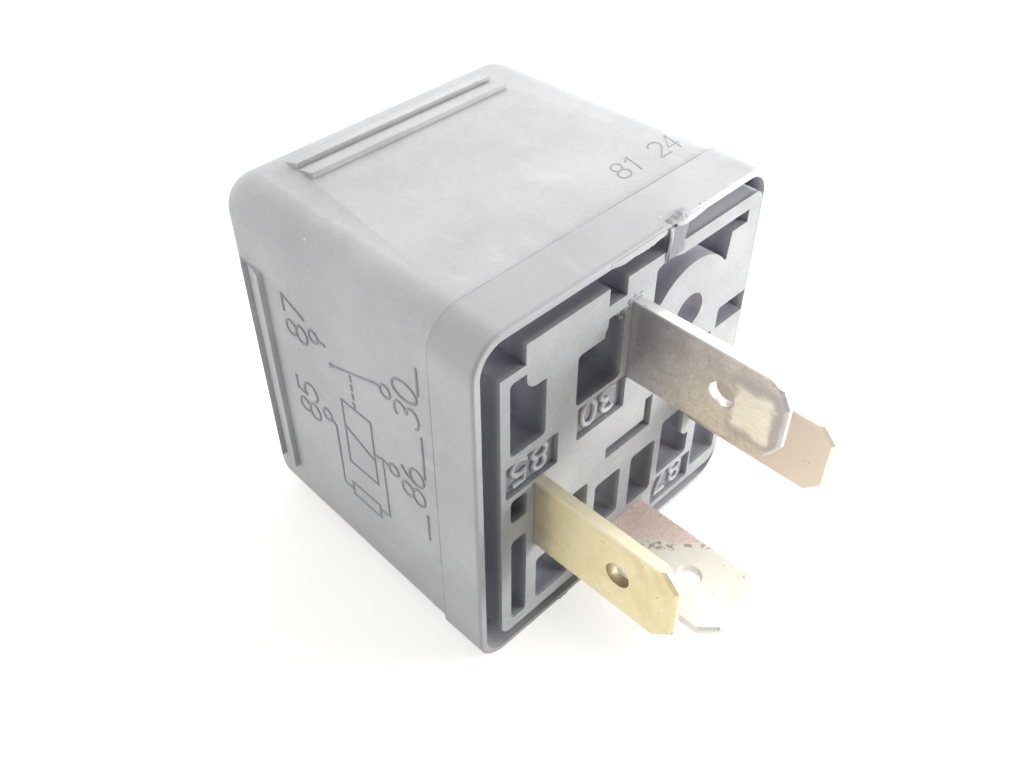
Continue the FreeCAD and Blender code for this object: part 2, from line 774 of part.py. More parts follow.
def make_contact_terminal():
    """The lower blade, which runs on as a strip and bends into the fixed contact's shelf."""
    body = new_body("terminal_87", up=BLADE_Z)
    outline = new_sketch(body, "outline", "XY")
    half = [
        ("-blade_reach", "-(blade_width / 2 - blade_tip_cut)"),
        ("-(blade_reach - blade_tip_cut)", "-blade_width / 2"),
        ("seat_depth", "-blade_width / 2"),
        ("seat_depth", "-strip_half_width"),
        (SHELF_TOP, "-strip_half_width"),
    ]
    polygon(outline, [(width, along) for along, width in mirrored_outline(half)])
    blade = pad(outline, "blade_thick", middle=True)
    finish_blade(body, blade, "XY")
    shelf = new_sketch(body, "shelf", "XZ", f"{SHELF_TOP} - blade_thick")
    polygon(shelf, [
        ("-strip_half_width", "-blade_thick / 2"),
        ("strip_half_width", "-blade_thick / 2"),
        ("strip_half_width", f"{CONTACT_Z} - {BLADE_Z} + contact_radius + contact_margin"),
        ("-strip_half_width", f"{CONTACT_Z} - {BLADE_Z} + contact_radius + contact_margin"),
    ])
    pad(shelf, "blade_thick")
    hole = new_sketch(body, "rivet_hole", "XZ", f"{SHELF_TOP} - 2 * blade_thick")
    disc(hole, "0", f"{CONTACT_Z} - {BLADE_Z}", "contact_shank + slot_gap")
    cut(hole, "3 * blade_thick")


def make_fixed_contact():
    """The riveted contact on the shelf."""
    body = new_body("fixed_contact", along=SHELF_TOP, up=CONTACT_Z)
    turned(body, "outline", [
        ("-(blade_thick + contact_head_rise)", "0"),
        ("-(blade_thick + contact_head_rise)", "contact_head"),
        ("-blade_thick", "contact_head"),
        ("-blade_thick", "contact_shank"),
        ("0", "contact_shank"),
        ("0", "contact_radius"),
        ("contact_rise - leaf_thick", "contact_radius"),
        ("contact_rise", "contact_radius - leaf_thick"),
        ("contact_rise", "0"),
    ])


def make_moving_contact():
    """The contact riveted through the leaf, facing the fixed one."""
    body = hinged_body("moving_contact", up=f"-{CONTACT_DROP}")
    turned(body, "outline", [
        (f"{LEAF_BASE} - moving_contact_rise", "0"),
        (f"{LEAF_BASE} - moving_contact_rise", "contact_radius - leaf_thick"),
        (f"{LEAF_BASE} - moving_contact_rise + leaf_thick", "contact_radius"),
        (LEAF_BASE, "contact_radius"),
        (LEAF_BASE, "contact_shank"),
        (LEAF_TOP, "contact_shank"),
        (LEAF_TOP, "contact_head"),
        (f"{LEAF_TOP} + contact_head_rise", "contact_head"),
        (f"{LEAF_TOP} + contact_head_rise", "0"),
    ])


def make_contact_leaf():
    """The leaf that the armature carries, with a wing for the stop and a tab for the braid."""
    body = hinged_body("contact_leaf")
    outline = new_sketch(body, "outline", "XZ", LEAF_BASE)
    waist = f"-({ARMATURE_DROP} - leaf_tip_half / 2)"
    tab_low = f"-({TAB_DROP} + braid_tab_height / 2)"
    tab_high = f"-({TAB_DROP} - braid_tab_height / 2)"
    polygon(outline, [
        ("-leaf_half_width", f"-{LEAF_TOP_DROP}"),
        ("-leaf_half_width", tab_high),
        ("-leaf_waist", waist),
        ("-wing_reach", f"-({CONTACT_DROP} - wing_high)"),
        ("-wing_reach", f"-({CONTACT_DROP} + wing_low)"),
        ("-leaf_tip_half", f"-({CONTACT_DROP} + wing_low)"),
        ("-leaf_tip_half", f"-({CONTACT_DROP} + leaf_tip_margin)"),
        ("leaf_tip_half", f"-({CONTACT_DROP} + leaf_tip_margin)"),
        ("leaf_tip_half", f"-({CONTACT_DROP} - wing_high)"),
        ("leaf_waist", waist),
        ("leaf_half_width", tab_low),
        ("braid_tab", tab_low),
        ("braid_tab", tab_high),
        ("leaf_half_width", tab_high),
        ("leaf_half_width", f"-{LEAF_TOP_DROP}"),
    ])
    pad(outline, "leaf_thick")
    holes = new_sketch(body, "holes", "XZ", f"{LEAF_BASE} - leaf_thick")
    disc(holes, "0", f"-{CONTACT_DROP}", "contact_shank + slot_gap")
    for sign in ("-", ""):
        disc(holes, f"{sign}pin_across", f"-{PIN_DROP}", "pin_shank + slot_gap")
    cut(holes, "3 * leaf_thick")


def make_armature():
    """The hinged iron plate over the pole, with its necked tail for the return spring."""
    body = hinged_body("armature")
    outline = new_sketch(body, "outline", "XZ", "air_gap")
    waist = "(iron_half_width - guide_width - 3 * fit_gap)"
    shoulder = "-(yoke_thick + 4 * fit_gap)"
    right_side = [
        ("armature_end_half", f"-{ARMATURE_DROP}"),
        ("iron_half_width", f"-({ARMATURE_DROP} - leaf_tip_half)"),
        ("iron_half_width", shoulder),
        (waist, shoulder),
        (waist, "4 * fit_gap"),
        ("neck_half", "4 * fit_gap"),
        ("neck_half", "neck_length"),
        ("head_half", "neck_length"),
        ("head_half", "neck_length + head_length"),
    ]
    left_side = [(f"-({across})", up) for across, up in reversed(right_side)]
    polygon(outline, right_side + left_side)
    pad(outline, "armature_thick")
    holes = new_sketch(body, "holes", "XZ", "air_gap - fit_gap")
    for sign in ("-", ""):
        disc(holes, f"{sign}pin_across", f"-{PIN_DROP}", "pin_shank + slot_gap")
    cut(holes, "armature_thick + 2 * fit_gap")


def make_armature_rivet(label, sign):
    """A rivet that joins the leaf's edge to the armature."""
    body = hinged_body(label, across=f"{sign}pin_across", up=f"-{PIN_DROP}")
    turned(body, "outline", [
        ("air_gap - pin_rise", "0"),
        ("air_gap - pin_rise", "pin_head"),
        ("air_gap", "pin_head"),
        ("air_gap", "pin_shank"),
        (LEAF_TOP, "pin_shank"),
        (LEAF_TOP, "pin_head"),
        (f"{LEAF_TOP} + pin_rise", "pin_head"),
        (f"{LEAF_TOP} + pin_rise", "0"),
    ])


def make_yoke():
    """The bent iron frame: one leg under the coil, one beside it, with a lug and two guides."""
    body = new_body("yoke")
    outline = new_sketch(body, "outline", "YZ")
    polygon(outline, [
        (YOKE_BASE, f"{COIL_Z} - yoke_tail"),
        (YOKE_BASE, HINGE_Z),
        (HINGE_Y, HINGE_Z),
        (HINGE_Y, YOKE_INNER),
        (f"{YOKE_BASE} + yoke_thick", YOKE_INNER),
        (f"{YOKE_BASE} + yoke_thick", f"{COIL_Z} - yoke_tail"),
    ])
    pad(outline, "2 * iron_half_width", middle=True)
    ear = new_sketch(body, "ear", "XZ", YOKE_BASE)
    polygon(ear, [
        ("iron_half_width / 2", "ear_up - ear_height / 2"),
        ("iron_half_width + ear_width", "ear_up - ear_height / 2"),
        ("iron_half_width + ear_width", "ear_up + ear_height / 2"),
        ("iron_half_width / 2", "ear_up + ear_height / 2"),
    ])
    pad(ear, "yoke_thick")
    lug = new_sketch(body, "lug", "XZ", "lug_place")
    polygon(lug, [
        ("-neck_half", YOKE_INNER),
        ("neck_half", YOKE_INNER),
        ("neck_half", f"{HINGE_Z} + neck_length"),
        ("head_half", f"{HINGE_Z} + neck_length"),
        ("head_half", f"{HINGE_Z} + neck_length + head_length"),
        ("-head_half", f"{HINGE_Z} + neck_length + head_length"),
        ("-head_half", f"{HINGE_Z} + neck_length"),
        ("-neck_half", f"{HINGE_Z} + neck_length"),
    ])
    pad(lug, "lug_thick")
    guides = new_sketch(body, "guides", "XZ", f"{HINGE_Y} - yoke_thick")
    for sign in ("-", ""):
        polygon(guides, [
            (f"{sign}(iron_half_width - guide_width)", YOKE_INNER),
            (f"{sign}iron_half_width", YOKE_INNER),
            (f"{sign}iron_half_width", HINGE_Z),
            (f"{sign}(iron_half_width - guide_width)", HINGE_Z),
        ])
    pad(guides, "yoke_thick + guide_rise")
    hole = new_sketch(body, "core_hole", "XZ", f"{YOKE_BASE} - fit_gap")
    disc(hole, "0", COIL_Z, f"{NECK_RADIUS} + slot_gap")
    cut(hole, "yoke_thick + 2 * fit_gap")


def make_core():
    """The iron core: riveted into the yoke, through the spool, to a wide pole."""
    body = new_body("core", along=YOKE_BASE, up=COIL_Z)
    turned(body, "outline", [
        ("-rivet_rise", "0"),
        ("-rivet_rise", f"{RIVET_RADIUS} - rivet_rise / 2"),
        ("-rivet_rise / 2", RIVET_RADIUS),
        ("0", RIVET_RADIUS),
        ("0", NECK_RADIUS),
        ("yoke_thick", NECK_RADIUS),
        ("yoke_thick", CORE_RADIUS),
        (f"{POLE_BASE} - {YOKE_BASE}", CORE_RADIUS),
        (f"{POLE_BASE} - {YOKE_BASE}", POLE_RADIUS),
        (f"{HINGE_Y} - {YOKE_BASE}", POLE_RADIUS),
        (f"{HINGE_Y} - {YOKE_BASE}", "0"),
    ])


def make_bobbin():
    """The moulded spool with its two square flanges."""
    body = new_body("bobbin", along=SPOOL_BASE, up=COIL_Z)
    tube = new_sketch(body, "tube", "XZ")
    disc(tube, "0", "0", SPOOL_RADIUS)
    pad(tube, "spool_length")
    for name, place in (("near", "0"), ("far", "spool_length - flange_thick")):
        flange = new_sketch(body, name, "XZ", place)
        centred(flange, FLANGE_HALF, FLANGE_HALF, "flange_corner")
        pad(flange, "flange_thick")
    bore = new_sketch(body, "bore", "XZ", "-fit_gap")
    disc(bore, "0", "0", f"{CORE_RADIUS} + fit_gap")
    cut(bore, "spool_length + 2 * fit_gap")


def make_winding():
    """The copper winding between the flanges, slightly rounded at its ends."""
    body = new_body("coil_winding", along=f"{SPOOL_BASE} + flange_thick", up=COIL_Z)
    length = "(spool_length - 2 * flange_thick)"
    turned(body, "outline", [
        ("0", SPOOL_RADIUS),
        ("0", f"{WINDING_RADIUS} - winding_round"),
        ("winding_round", WINDING_RADIUS),
        (f"{length} - winding_round", WINDING_RADIUS),
        (length, f"{WINDING_RADIUS} - winding_round"),
        (length, SPOOL_RADIUS),
    ])


def make_tape():
    """One turn of insulating tape round the winding."""
    body = new_body("coil_tape", along=f"{SPOOL_BASE} + flange_thick + winding_round", up=COIL_Z)
    length = "(spool_length - 2 * flange_thick - 2 * winding_round)"
    turned(body, "outline", [
        ("0", WINDING_RADIUS),
        ("0", f"{WINDING_RADIUS} + tape_thick"),
        (length, f"{WINDING_RADIUS} + tape_thick"),
        (length, WINDING_RADIUS),
    ])


def make_stop():
    """The stop that limits how far the leaf opens."""
    body = new_body("back_stop", across="stop_across", up=BLADE_Z)
    outline = new_sketch(body, "outline", "YZ")
    lever = f"({HINGE_Z} - {BLADE_Z} - stop_thick)"
    under = f"({HINGE_Y} + {LEAF_TOP} * cos(open_angle) + {lever} * sin(open_angle) + stop_gap)"
    half = "stop_thick / 2"
    polygon(outline, [
        ("seat_depth - stop_root + slot_gap", f"-{half}"),
        (f"{under} + stop_thick", f"-{half}"),
        (f"{under} + stop_thick", f"{CONTACT_Z} - {BLADE_Z} + stop_overlap - {half}"),
        (under, f"{CONTACT_Z} - {BLADE_Z} + stop_overlap - {half}"),
        (under, half),
        ("seat_depth - stop_root + slot_gap", half),
    ])
    pad(outline, "stop_width", middle=True)


def make_resistor():
    """The suppression resistor that lies between the coil blades' tags, with its two leads."""
    body = new_body("resistor", along="resistor_place", up=RESISTOR_Z)
    sketch = new_sketch(body, "outline", "XY")
    end = "resistor_length / 2"
    polygon(sketch, [
        (f"-{end}", "0"),
        (f"-{end}", "resistor_radius"),
        (f"-({end} - resistor_cap)", "resistor_radius"),
        (f"-({end} - 1.2 * resistor_cap)", "resistor_waist"),
        (f"{end} - 1.2 * resistor_cap", "resistor_waist"),
        (f"{end} - resistor_cap", "resistor_radius"),
        (end, "resistor_radius"),
        (end, "0"),
    ])
    item = body.newObject("PartDesign::Revolution", "resistor_turned")
    item.Profile = sketch
    item.ReferenceAxis = (sketch, ["H_Axis"])
    item.Angle = 360
    for label, sign in (("resistor_lead_left", "-"), ("resistor_lead_right", "")):
        points = [
            (f"{sign}resistor_length / 2", "resistor_place", RESISTOR_Z),
            (f"{sign}side_blade_spread", "resistor_place", RESISTOR_Z),
            (f"{sign}side_blade_spread", "resistor_place", "side_blade_up - tag_width / 2"),
        ]
        bar(label, points, "resistor_wire", "3 * resistor_wire")


def make_coil_leads():
    """The winding's two ends, from its skin to the tags of the coil blades."""
    inner = "(side_blade_spread - blade_thick / 2)"
    skin = f"({WINDING_RADIUS} + tape_thick + lead_wire)"
    for label, sign in (("coil_lead_left", "-"), ("coil_lead_right", "")):
        points = [
            (f"{sign}{skin}", "lead_place + tag_rise / 2", COIL_Z),
            (f"{sign}{skin}", "lead_place", COIL_Z),
            (f"{sign}({inner} - lead_wire)", "lead_place", "side_blade_up + tag_width / 4"),
            (f"{sign}({inner} - lead_wire)", "lead_place", "side_blade_up - tag_width / 4"),
        ]
        bar(label, points, "lead_wire", "lead_bend")


def make_braid():
    """The flexible copper braid from the yoke's ear to the tab of the leaf."""
    across = "(iron_half_width + ear_width - ear_height / 2 + 0.25 * braid_radius)"
    tab_y = f"{HINGE_Y} + {LEAF_BASE} * cos(open_angle) + {TAB_DROP} * sin(open_angle)"
    tab_z = f"{HINGE_Z} - {TAB_DROP} * cos(open_angle)"
    middle = f"({YOKE_BASE} + yoke_thick + {HINGE_Y}) / 2"
    points = [
        (across, f"{YOKE_BASE} + yoke_thick", "ear_up"),
        (across, f"{middle} - braid_bend", "ear_up"),
        (across, f"{middle} + braid_bend", tab_z),
        (across, f"{tab_y} - fit_gap", tab_z),
    ]
    bar("braid", points, "braid_radius", "braid_bend", sides=8)


def make_return_spring():
    """The tension spring: a helix with a ring at each end, round the yoke's lug and the tail."""
    radius, wire = number("spring_radius"), number("spring_wire")
    height = number(SPRING_Z)
    inside = "(sqrt((spring_radius - spring_wire)^2 - neck_half^2) - slot_gap)"
    tail = "(air_gap + armature_thick)"
    low = number(f"lug_place + {inside}")
    high = number(f"{HINGE_Y} + {tail} * cos(open_angle) - neck_length / 2 * sin(open_angle) - {inside}")
    coil_start, coil_end = low + radius, high - radius
    pitch = (coil_end - coil_start) / number("spring_turns")
    helix = Part.makeHelix(pitch, coil_end - coil_start, radius)
    upward = FreeCAD.Rotation(V(1, 0, 0), -90).multiply(FreeCAD.Rotation(V(0, 0, 1), -90))
    helix.Placement = FreeCAD.Placement(V(0, coil_start, height), upward)
    parts = [piped(Part.Wire(helix.Edges), wire, 6)]
    for middle, joint in ((low, coil_start), (high, coil_end)):
        section = Part.Face(ring(V(0, middle + radius, height), V(1, 0, 0), wire, 6))
        parts.append(section.revolve(V(0, middle, height), V(0, 0, 1), 360))
        section = Part.Face(ring(V(0, joint, height), V(0, 0, 1), wire, 6))
        parts.append(section.extrude(V(0, 0, radius)))
    feature = doc.addObject("Part::Feature", "return_spring")
    feature.Label = "return_spring"
    feature.Shape = parts[0].multiFuse(parts[1:])
    feature.Placement = FreeCAD.Placement(V(0, number(RIM_Y), number("cover_height / 2")), FreeCAD.Rotation())


make_cover()
make_base()
make_side_terminal("terminal_85", "-")
make_side_terminal("terminal_86", "")
make_common_terminal()
make_contact_terminal()
make_fixed_contact()
make_moving_contact()
make_contact_leaf()
make_armature()
make_armature_rivet("armature_rivet_left", "-")
make_armature_rivet("armature_rivet_right", "")
make_yoke()
make_core()
make_bobbin()
make_winding()
make_tape()
make_stop()
make_resistor()
make_coil_leads()
make_braid()
make_return_spring()
doc.recompute()

for item in doc.Objects:
    if "Invalid" in item.State or "Error" in item.State:
        raise RuntimeError(f"{item.Label} failed to build")

nodes = [item for item in doc.Objects if item.TypeId in ("PartDesign::Body", "Part::Feature")]
os.makedirs("parts", exist_ok=True)
for item in nodes:
    shape = item.Shape
    if shape.isNull() or not shape.isValid() or not shape.Solids:
        raise RuntimeError(f"{item.Label} has no valid solid")
for item in nodes:
    item.Shape.exportStep(f"parts/{item.Label}.step")
    print(f"{item.Label}: {len(item.Shape.Solids)} solid, {item.Shape.Volume:.1f} cubic mm")
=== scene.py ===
import json
import math

import bmesh
import bpy
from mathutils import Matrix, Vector, noise


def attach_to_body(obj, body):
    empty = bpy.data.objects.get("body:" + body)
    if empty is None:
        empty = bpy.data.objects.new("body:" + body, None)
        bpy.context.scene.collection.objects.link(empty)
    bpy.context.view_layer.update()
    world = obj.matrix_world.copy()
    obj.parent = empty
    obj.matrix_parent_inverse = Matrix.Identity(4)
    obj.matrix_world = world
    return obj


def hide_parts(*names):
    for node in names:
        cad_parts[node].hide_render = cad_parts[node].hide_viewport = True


# A plug-in relay with a light grey cover, lying on its side on a white surface.
# The blades point to -Y, +X is across and +Z is up. Sizes below are in millimetres.
# RIM is the front of the cover and FACE that of the base. The skirt ends STEP behind the rim.
# Faces within FLAT of each other are one face, and edges sharper than SHARP are broken.

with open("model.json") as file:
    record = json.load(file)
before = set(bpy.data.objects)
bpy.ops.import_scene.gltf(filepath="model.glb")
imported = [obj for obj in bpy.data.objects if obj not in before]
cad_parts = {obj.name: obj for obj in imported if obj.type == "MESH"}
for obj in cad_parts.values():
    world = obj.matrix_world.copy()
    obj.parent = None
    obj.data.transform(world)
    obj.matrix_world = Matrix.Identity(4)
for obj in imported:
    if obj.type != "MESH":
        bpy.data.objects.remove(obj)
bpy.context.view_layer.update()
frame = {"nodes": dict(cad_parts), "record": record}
nodes = frame["nodes"]
MM = 0.001
RIM = -6.9
FACE = -7.1
MIDDLE = 14.9
STEP = 3.75
LATCH_HOLE = RIM - 7.3
SIDE_BLADES = MIDDLE - 1.9
DIGIT_WIDTH = 0.62
DRAFT = math.tan(math.radians(1.16))
FLAT = math.radians(0.4)
SHARP = math.radians(38)
COVER_CREASE = 28
WELD = 1e-6


# Camera

lens = bpy.data.cameras.new("camera")
lens.sensor_width = 36
lens.lens = 36.1036
lens.shift_x = -0.003905
lens.shift_y = 0.003620
lens.clip_start = 0.001
camera = bpy.data.objects.new("camera", lens)
camera.location = (-0.0407002, -0.0365948, 0.0648031)
camera.rotation_euler = [math.radians(turn) for turn in (46.9, -0.1977, -45.3693)]
bpy.context.scene.collection.objects.link(camera)
bpy.context.scene.camera = camera


# Help for building shader nodes

def tone(red, green, blue):
    """A colour as it looks on a screen, 0 to 255, turned into a linear one."""
    parts = []
    for part in (red, green, blue):
        part = part / 255
        parts.append(part / 12.92 if part <= 0.04045 else ((part + 0.055) / 1.055) ** 2.4)
    return (*parts, 1)


def place(tree, kind, values=None, **settings):
    """Add a node, with its settings by name and its inputs by place or name."""
    node = tree.nodes.new(kind)
    for name, value in settings.items():
        setattr(node, name, value)
    for key, value in (values or {}).items():
        if isinstance(value, bpy.types.NodeSocket):
            tree.links.new(value, node.inputs[key])
        else:
            node.inputs[key].default_value = value
    return node


def put(tree, kind, values=None, **settings):
    return place(tree, "ShaderNode" + kind, values, **settings)


def calc(tree, operation, *values):
    node = put(tree, "Math", dict(enumerate(values)), operation=operation)
    return node.outputs[0]


def times(tree, first, second):
    return calc(tree, "MULTIPLY", first, second)


def distance(tree, first, second):
    """The length of a step whose two parts are given."""
    return calc(tree, "SQRT", calc(tree, "ADD", times(tree, first, first), times(tree, second, second)))


def ramp(tree, value, low, high):
    """0 below the low value and 1 above the high one, smooth between. Low above high turns it round."""
    span = {"From Min": low, "From Max": high, "To Min": 0, "To Max": 1}
    if low > high:
        span = {"From Min": high, "From Max": low, "To Min": 1, "To Max": 0}
    node = put(tree, "MapRange", {"Value": value, **span}, interpolation_type="SMOOTHSTEP")
    return node.outputs[0]


def window(tree, value, low, high, soft):
    """1 between two values and 0 outside them."""
    inside = ramp(tree, value, low - soft, low + soft)
    return times(tree, inside, ramp(tree, value, high + soft, high - soft))


def mix(tree, share, first, second):
    node = put(tree, "Mix", {0: share, 6: first, 7: second}, data_type="RGBA")
    return node.outputs[2]


def tint(tree, colour, mask, share, paint):
    """Mix a screen colour into another one, by a mask times a share."""
    return mix(tree, times(tree, mask, share), colour, tone(*paint))


def cloud(tree, vector, scale, detail=2, rough=0.5, distortion=0):
    """Noise from 0 to 1 whose features are about 1 / scale millimetres across."""
    pattern = {"Scale": scale, "Detail": detail, "Roughness": rough, "Distortion": distortion}
    return put(tree, "TexNoise", {"Vector": vector, **pattern}).outputs[0]


def stretched(tree, vector, across, along, up):
    node = put(tree, "VectorMath", {0: vector, 1: (across, along, up)}, operation="MULTIPLY")
    return node.outputs[0]


def scaled(tree, vector, factor):
    return put(tree, "VectorMath", {0: vector, "Scale": factor}, operation="SCALE").outputs[0]


def millimetres(tree):
    """The object's own coordinates in millimetres, and split into their three axes."""
    vector = scaled(tree, put(tree, "TexCoord").outputs["Object"], 1 / MM)
    return vector, put(tree, "SeparateXYZ", {0: vector}).outputs


def group(name, outputs):
    """Start a shader group: it takes a place and how fine its pattern is, and gives plain values."""
    tree = bpy.data.node_groups.new(name, "ShaderNodeTree")
    tree.interface.new_socket("Vector", in_out="INPUT", socket_type="NodeSocketVector")
    tree.interface.new_socket("Fineness", in_out="INPUT", socket_type="NodeSocketFloat")
    for output in outputs:
        tree.interface.new_socket(output, in_out="OUTPUT", socket_type="NodeSocketFloat")
    start = tree.nodes.new("NodeGroupInput")
    end = tree.nodes.new("NodeGroupOutput")
    return tree, scaled(tree, start.outputs["Vector"], start.outputs["Fineness"]), end


def close_group(tree, end, values):
    for number, value in enumerate(values):
        tree.links.new(value, end.inputs[number])
    return tree


def use(tree, shared, vector, fineness):
    node = put(tree, "Group", node_tree=shared)
    node.inputs["Fineness"].default_value = fineness
    tree.links.new(vector, node.inputs["Vector"])
    return node.outputs


def make_moulded_grain():
    """Fine spark-eroded grain, soft mottling, dust specks and rubbed patches of a moulding."""
    tree, vector, end = group("moulded_grain", ("Height", "Mottle", "Dust", "Rub"))
    fine = cloud(tree, vector, 5.5, 3, 0.65)
    coarse = cloud(tree, vector, 1.3, 2, 0.5)
    height = calc(tree, "MULTIPLY_ADD", coarse, 0.5, fine)
    broad = cloud(tree, vector, 0.16, 3, 0.6)
    mottle = calc(tree, "MULTIPLY_ADD", cloud(tree, vector, 2.4, 2), 0.35, broad)
    mottle = calc(tree, "MULTIPLY_ADD", fine, 0.45, mottle)
    cells = put(tree, "TexVoronoi", {"Vector": vector, "Scale": 0.55, "Randomness": 1})
    size = times(tree, put(tree, "SeparateColor", {0: cells.outputs["Color"]}).outputs[0], 0.075)
    dust = ramp(tree, calc(tree, "SUBTRACT", cells.outputs["Distance"], size), 0.0, -0.03)
    rub = ramp(tree, cloud(tree, stretched(tree, vector, 1, 0.35, 1), 0.5, 4, 0.7, 0.6), 0.56, 0.75)
    return close_group(tree, end, (height, mottle, dust, rub))


def make_metal_wear():
    """Fine scratches along a blade, dark flecks, clouded tarnish and rolled streaks."""
    tree, vector, end = group("metal_wear", ("Scratches", "Flecks", "Tarnish", "Rolling"))
    lines = cloud(tree, stretched(tree, vector, 9, 0.7, 9), 1.6, 3, 0.6, 0.3)
    scratches = ramp(tree, lines, 0.60, 0.70)
    grains = cloud(tree, vector, 2.6, 4, 0.75)
    patches = cloud(tree, vector, 0.45, 2)
    flecks = times(tree, ramp(tree, grains, 0.61, 0.68), ramp(tree, patches, 0.40, 0.60))
    tarnish = cloud(tree, vector, 0.35, 4, 0.6, 0.8)
    rolling = cloud(tree, stretched(tree, vector, 14, 0.25, 14), 1.0, 2)
    return close_group(tree, end, (scratches, flecks, tarnish, rolling))


grain_group = make_moulded_grain()
wear_group = make_metal_wear()


def start_material(name):
    material = bpy.data.materials.new(name)
    material.use_nodes = True
    tree = material.node_tree
    shader = next(node for node in tree.nodes if node.type == "BSDF_PRINCIPLED")
    return material, tree, shader


def connect(tree, shader, colour, rough, height, depth):
    """Colour, roughness and a bump of the given depth in millimetres."""
    tree.links.new(colour, shader.inputs["Base Color"])
    tree.links.new(rough, shader.inputs["Roughness"])
    bump = put(tree, "Bump", {"Strength": 1, "Distance": depth * MM, "Height": height})
    tree.links.new(bump.outputs[0], shader.inputs["Normal"])


# Materials

def moulded(name, light, dark, gloss=0.5, bump=0.012, shade=None, fineness=1.0):
    """Satin moulded plastic. The shade function may paint shade and light into it by place."""
    material, tree, shader = start_material(name)
    vector, axes = millimetres(tree)
    height, mottle, dust, rub = use(tree, grain_group, vector, fineness)
    colour = mix(tree, ramp(tree, mottle, 0.6, 1.25), tone(*light), tone(*dark))
    paler = tuple(min(255, part + 9) for part in light)
    colour = tint(tree, colour, rub, 0.45, paler)
    if shade:
        colour = shade(tree, axes, colour, vector)
    colour = tint(tree, colour, dust, 0.55, (235, 235, 235))
    rough = calc(tree, "MULTIPLY_ADD", rub, -0.12, gloss)
    rough = calc(tree, "MULTIPLY_ADD", mottle, 0.08, rough)
    connect(tree, shader, colour, rough, height, bump)
    shader.inputs["Specular IOR Level"].default_value = 0.35
    return material


def cover_shade(tree, axes, colour, vector):
    """Painted shade in the mouth, along the skirt's step, at the upper left front and rim, and low on the
    sides.
    """
    across = calc(tree, "MAXIMUM", calc(tree, "SUBTRACT", calc(tree, "ABSOLUTE", axes[0]), 11.3), 0)
    height = calc(tree, "ABSOLUTE", calc(tree, "SUBTRACT", axes[2], MIDDLE))
    up = calc(tree, "MAXIMUM", calc(tree, "SUBTRACT", height, 12.45), 0)
    reach = distance(tree, across, up)
    # Painted shade inside the mouth, on the inner walls near the rim.
    inside = times(tree, ramp(tree, reach, 1.99, 1.93), window(tree, axes[1], RIM + 0.35, RIM + 4.7, 0.2))
    colour = mix(tree, inside, colour, tone(156, 156, 164))
    # Painted shade, patchy, along the step of the skirt.
    step = window(tree, axes[1], RIM + 3.68, RIM + 3.92, 0.04)
    patchy = calc(tree, "MULTIPLY_ADD", ramp(tree, cloud(tree, vector, 0.4, 3), 0.3, 0.6), 0.5, 0.5)
    colour = tint(tree, colour, times(tree, step, patchy), 0.9, (120, 120, 126))
    # Painted shade on the front of the skirt's upper face, deeper toward the left.
    skirt = times(tree, ramp(tree, axes[1], RIM + 3.78, RIM + 3.70), ramp(tree, axes[0], 9, -5))
    skirt = times(tree, skirt, ramp(tree, axes[2], 26, 29))
    colour = tint(tree, colour, skirt, 0.6, (166, 168, 167))
    # Painted shade on the rim's front edge toward the left, dimming its highlight.
    front = times(tree, ramp(tree, axes[1], RIM + 0.45, RIM + 0.05), ramp(tree, axes[0], 4.5, 2.5))
    colour = tint(tree, colour, front, 0.45, (146, 148, 151))
    # Painted shade toward the bottom of the sides.
    low = ramp(tree, axes[2], 12.0, 1.0)
    return tint(tree, colour, low, 0.40, (154, 152, 154))


def base_shade(tree, axes, colour, vector):
    """Pockets, grooves and recess floors get painted shade, darker toward the left and painted lighter deep
    down.
    """
    depth = calc(tree, "SUBTRACT", axes[1], FACE)
    uneven = calc(tree, "MULTIPLY_ADD", cloud(tree, vector, 0.9, 2), 0.10, depth)
    # Painted light: recesses to the right and the groove along the top are painted lighter.
    right = times(tree, ramp(tree, axes[0], -1, 6), ramp(tree, axes[2], 14, 22))
    upper = mix(tree, ramp(tree, axes[2], 26.9, 27.3), tone(154, 154, 162), tone(200, 201, 204))
    near = mix(tree, right, tone(130, 130, 138), upper)
    deep = mix(tree, right, tone(180, 180, 192), tone(206, 206, 216))
    # Painted shade just below the face, then painted light where the recesses go deep.
    colour = mix(tree, ramp(tree, uneven, 0.12, 0.50), colour, near)
    return mix(tree, ramp(tree, uneven, 0.6, 2.3), colour, deep)


def metal(name, colour, worn, tarnish, metallic=0.85, rough=0.34, shade=None, brushed=0.35, fineness=1.0):
    """Sheet metal with rolling lines, scratches, flecks and tarnish. The shade may add worn places, painted
    shade and highlights.
    """
    material, tree, shader = start_material(name)
    vector, axes = millimetres(tree)
    scratches, flecks, clouds, rolling = use(tree, wear_group, vector, fineness)
    body = mix(tree, ramp(tree, clouds, 0.35, 0.7), tone(*colour), tone(*tarnish))
    body = mix(tree, times(tree, ramp(tree, rolling, 0.35, 0.75), brushed), body, tone(*worn))
    if shade:
        body = shade(tree, axes, body, vector)
    body = tint(tree, body, scratches, 0.5, worn)
    darkest = tuple(part * 0.55 for part in tarnish)
    body = tint(tree, body, flecks, 0.6, darkest)
    dull = calc(tree, "MULTIPLY_ADD", clouds, 0.25, rough - 0.1)
    dull = calc(tree, "MULTIPLY_ADD", flecks, 0.25, dull)
    height = calc(tree, "SUBTRACT", times(tree, rolling, 0.4), times(tree, scratches, 0.8))
    connect(tree, shader, body, dull, height, 0.006)
    shader.inputs["Metallic"].default_value = metallic
    return material


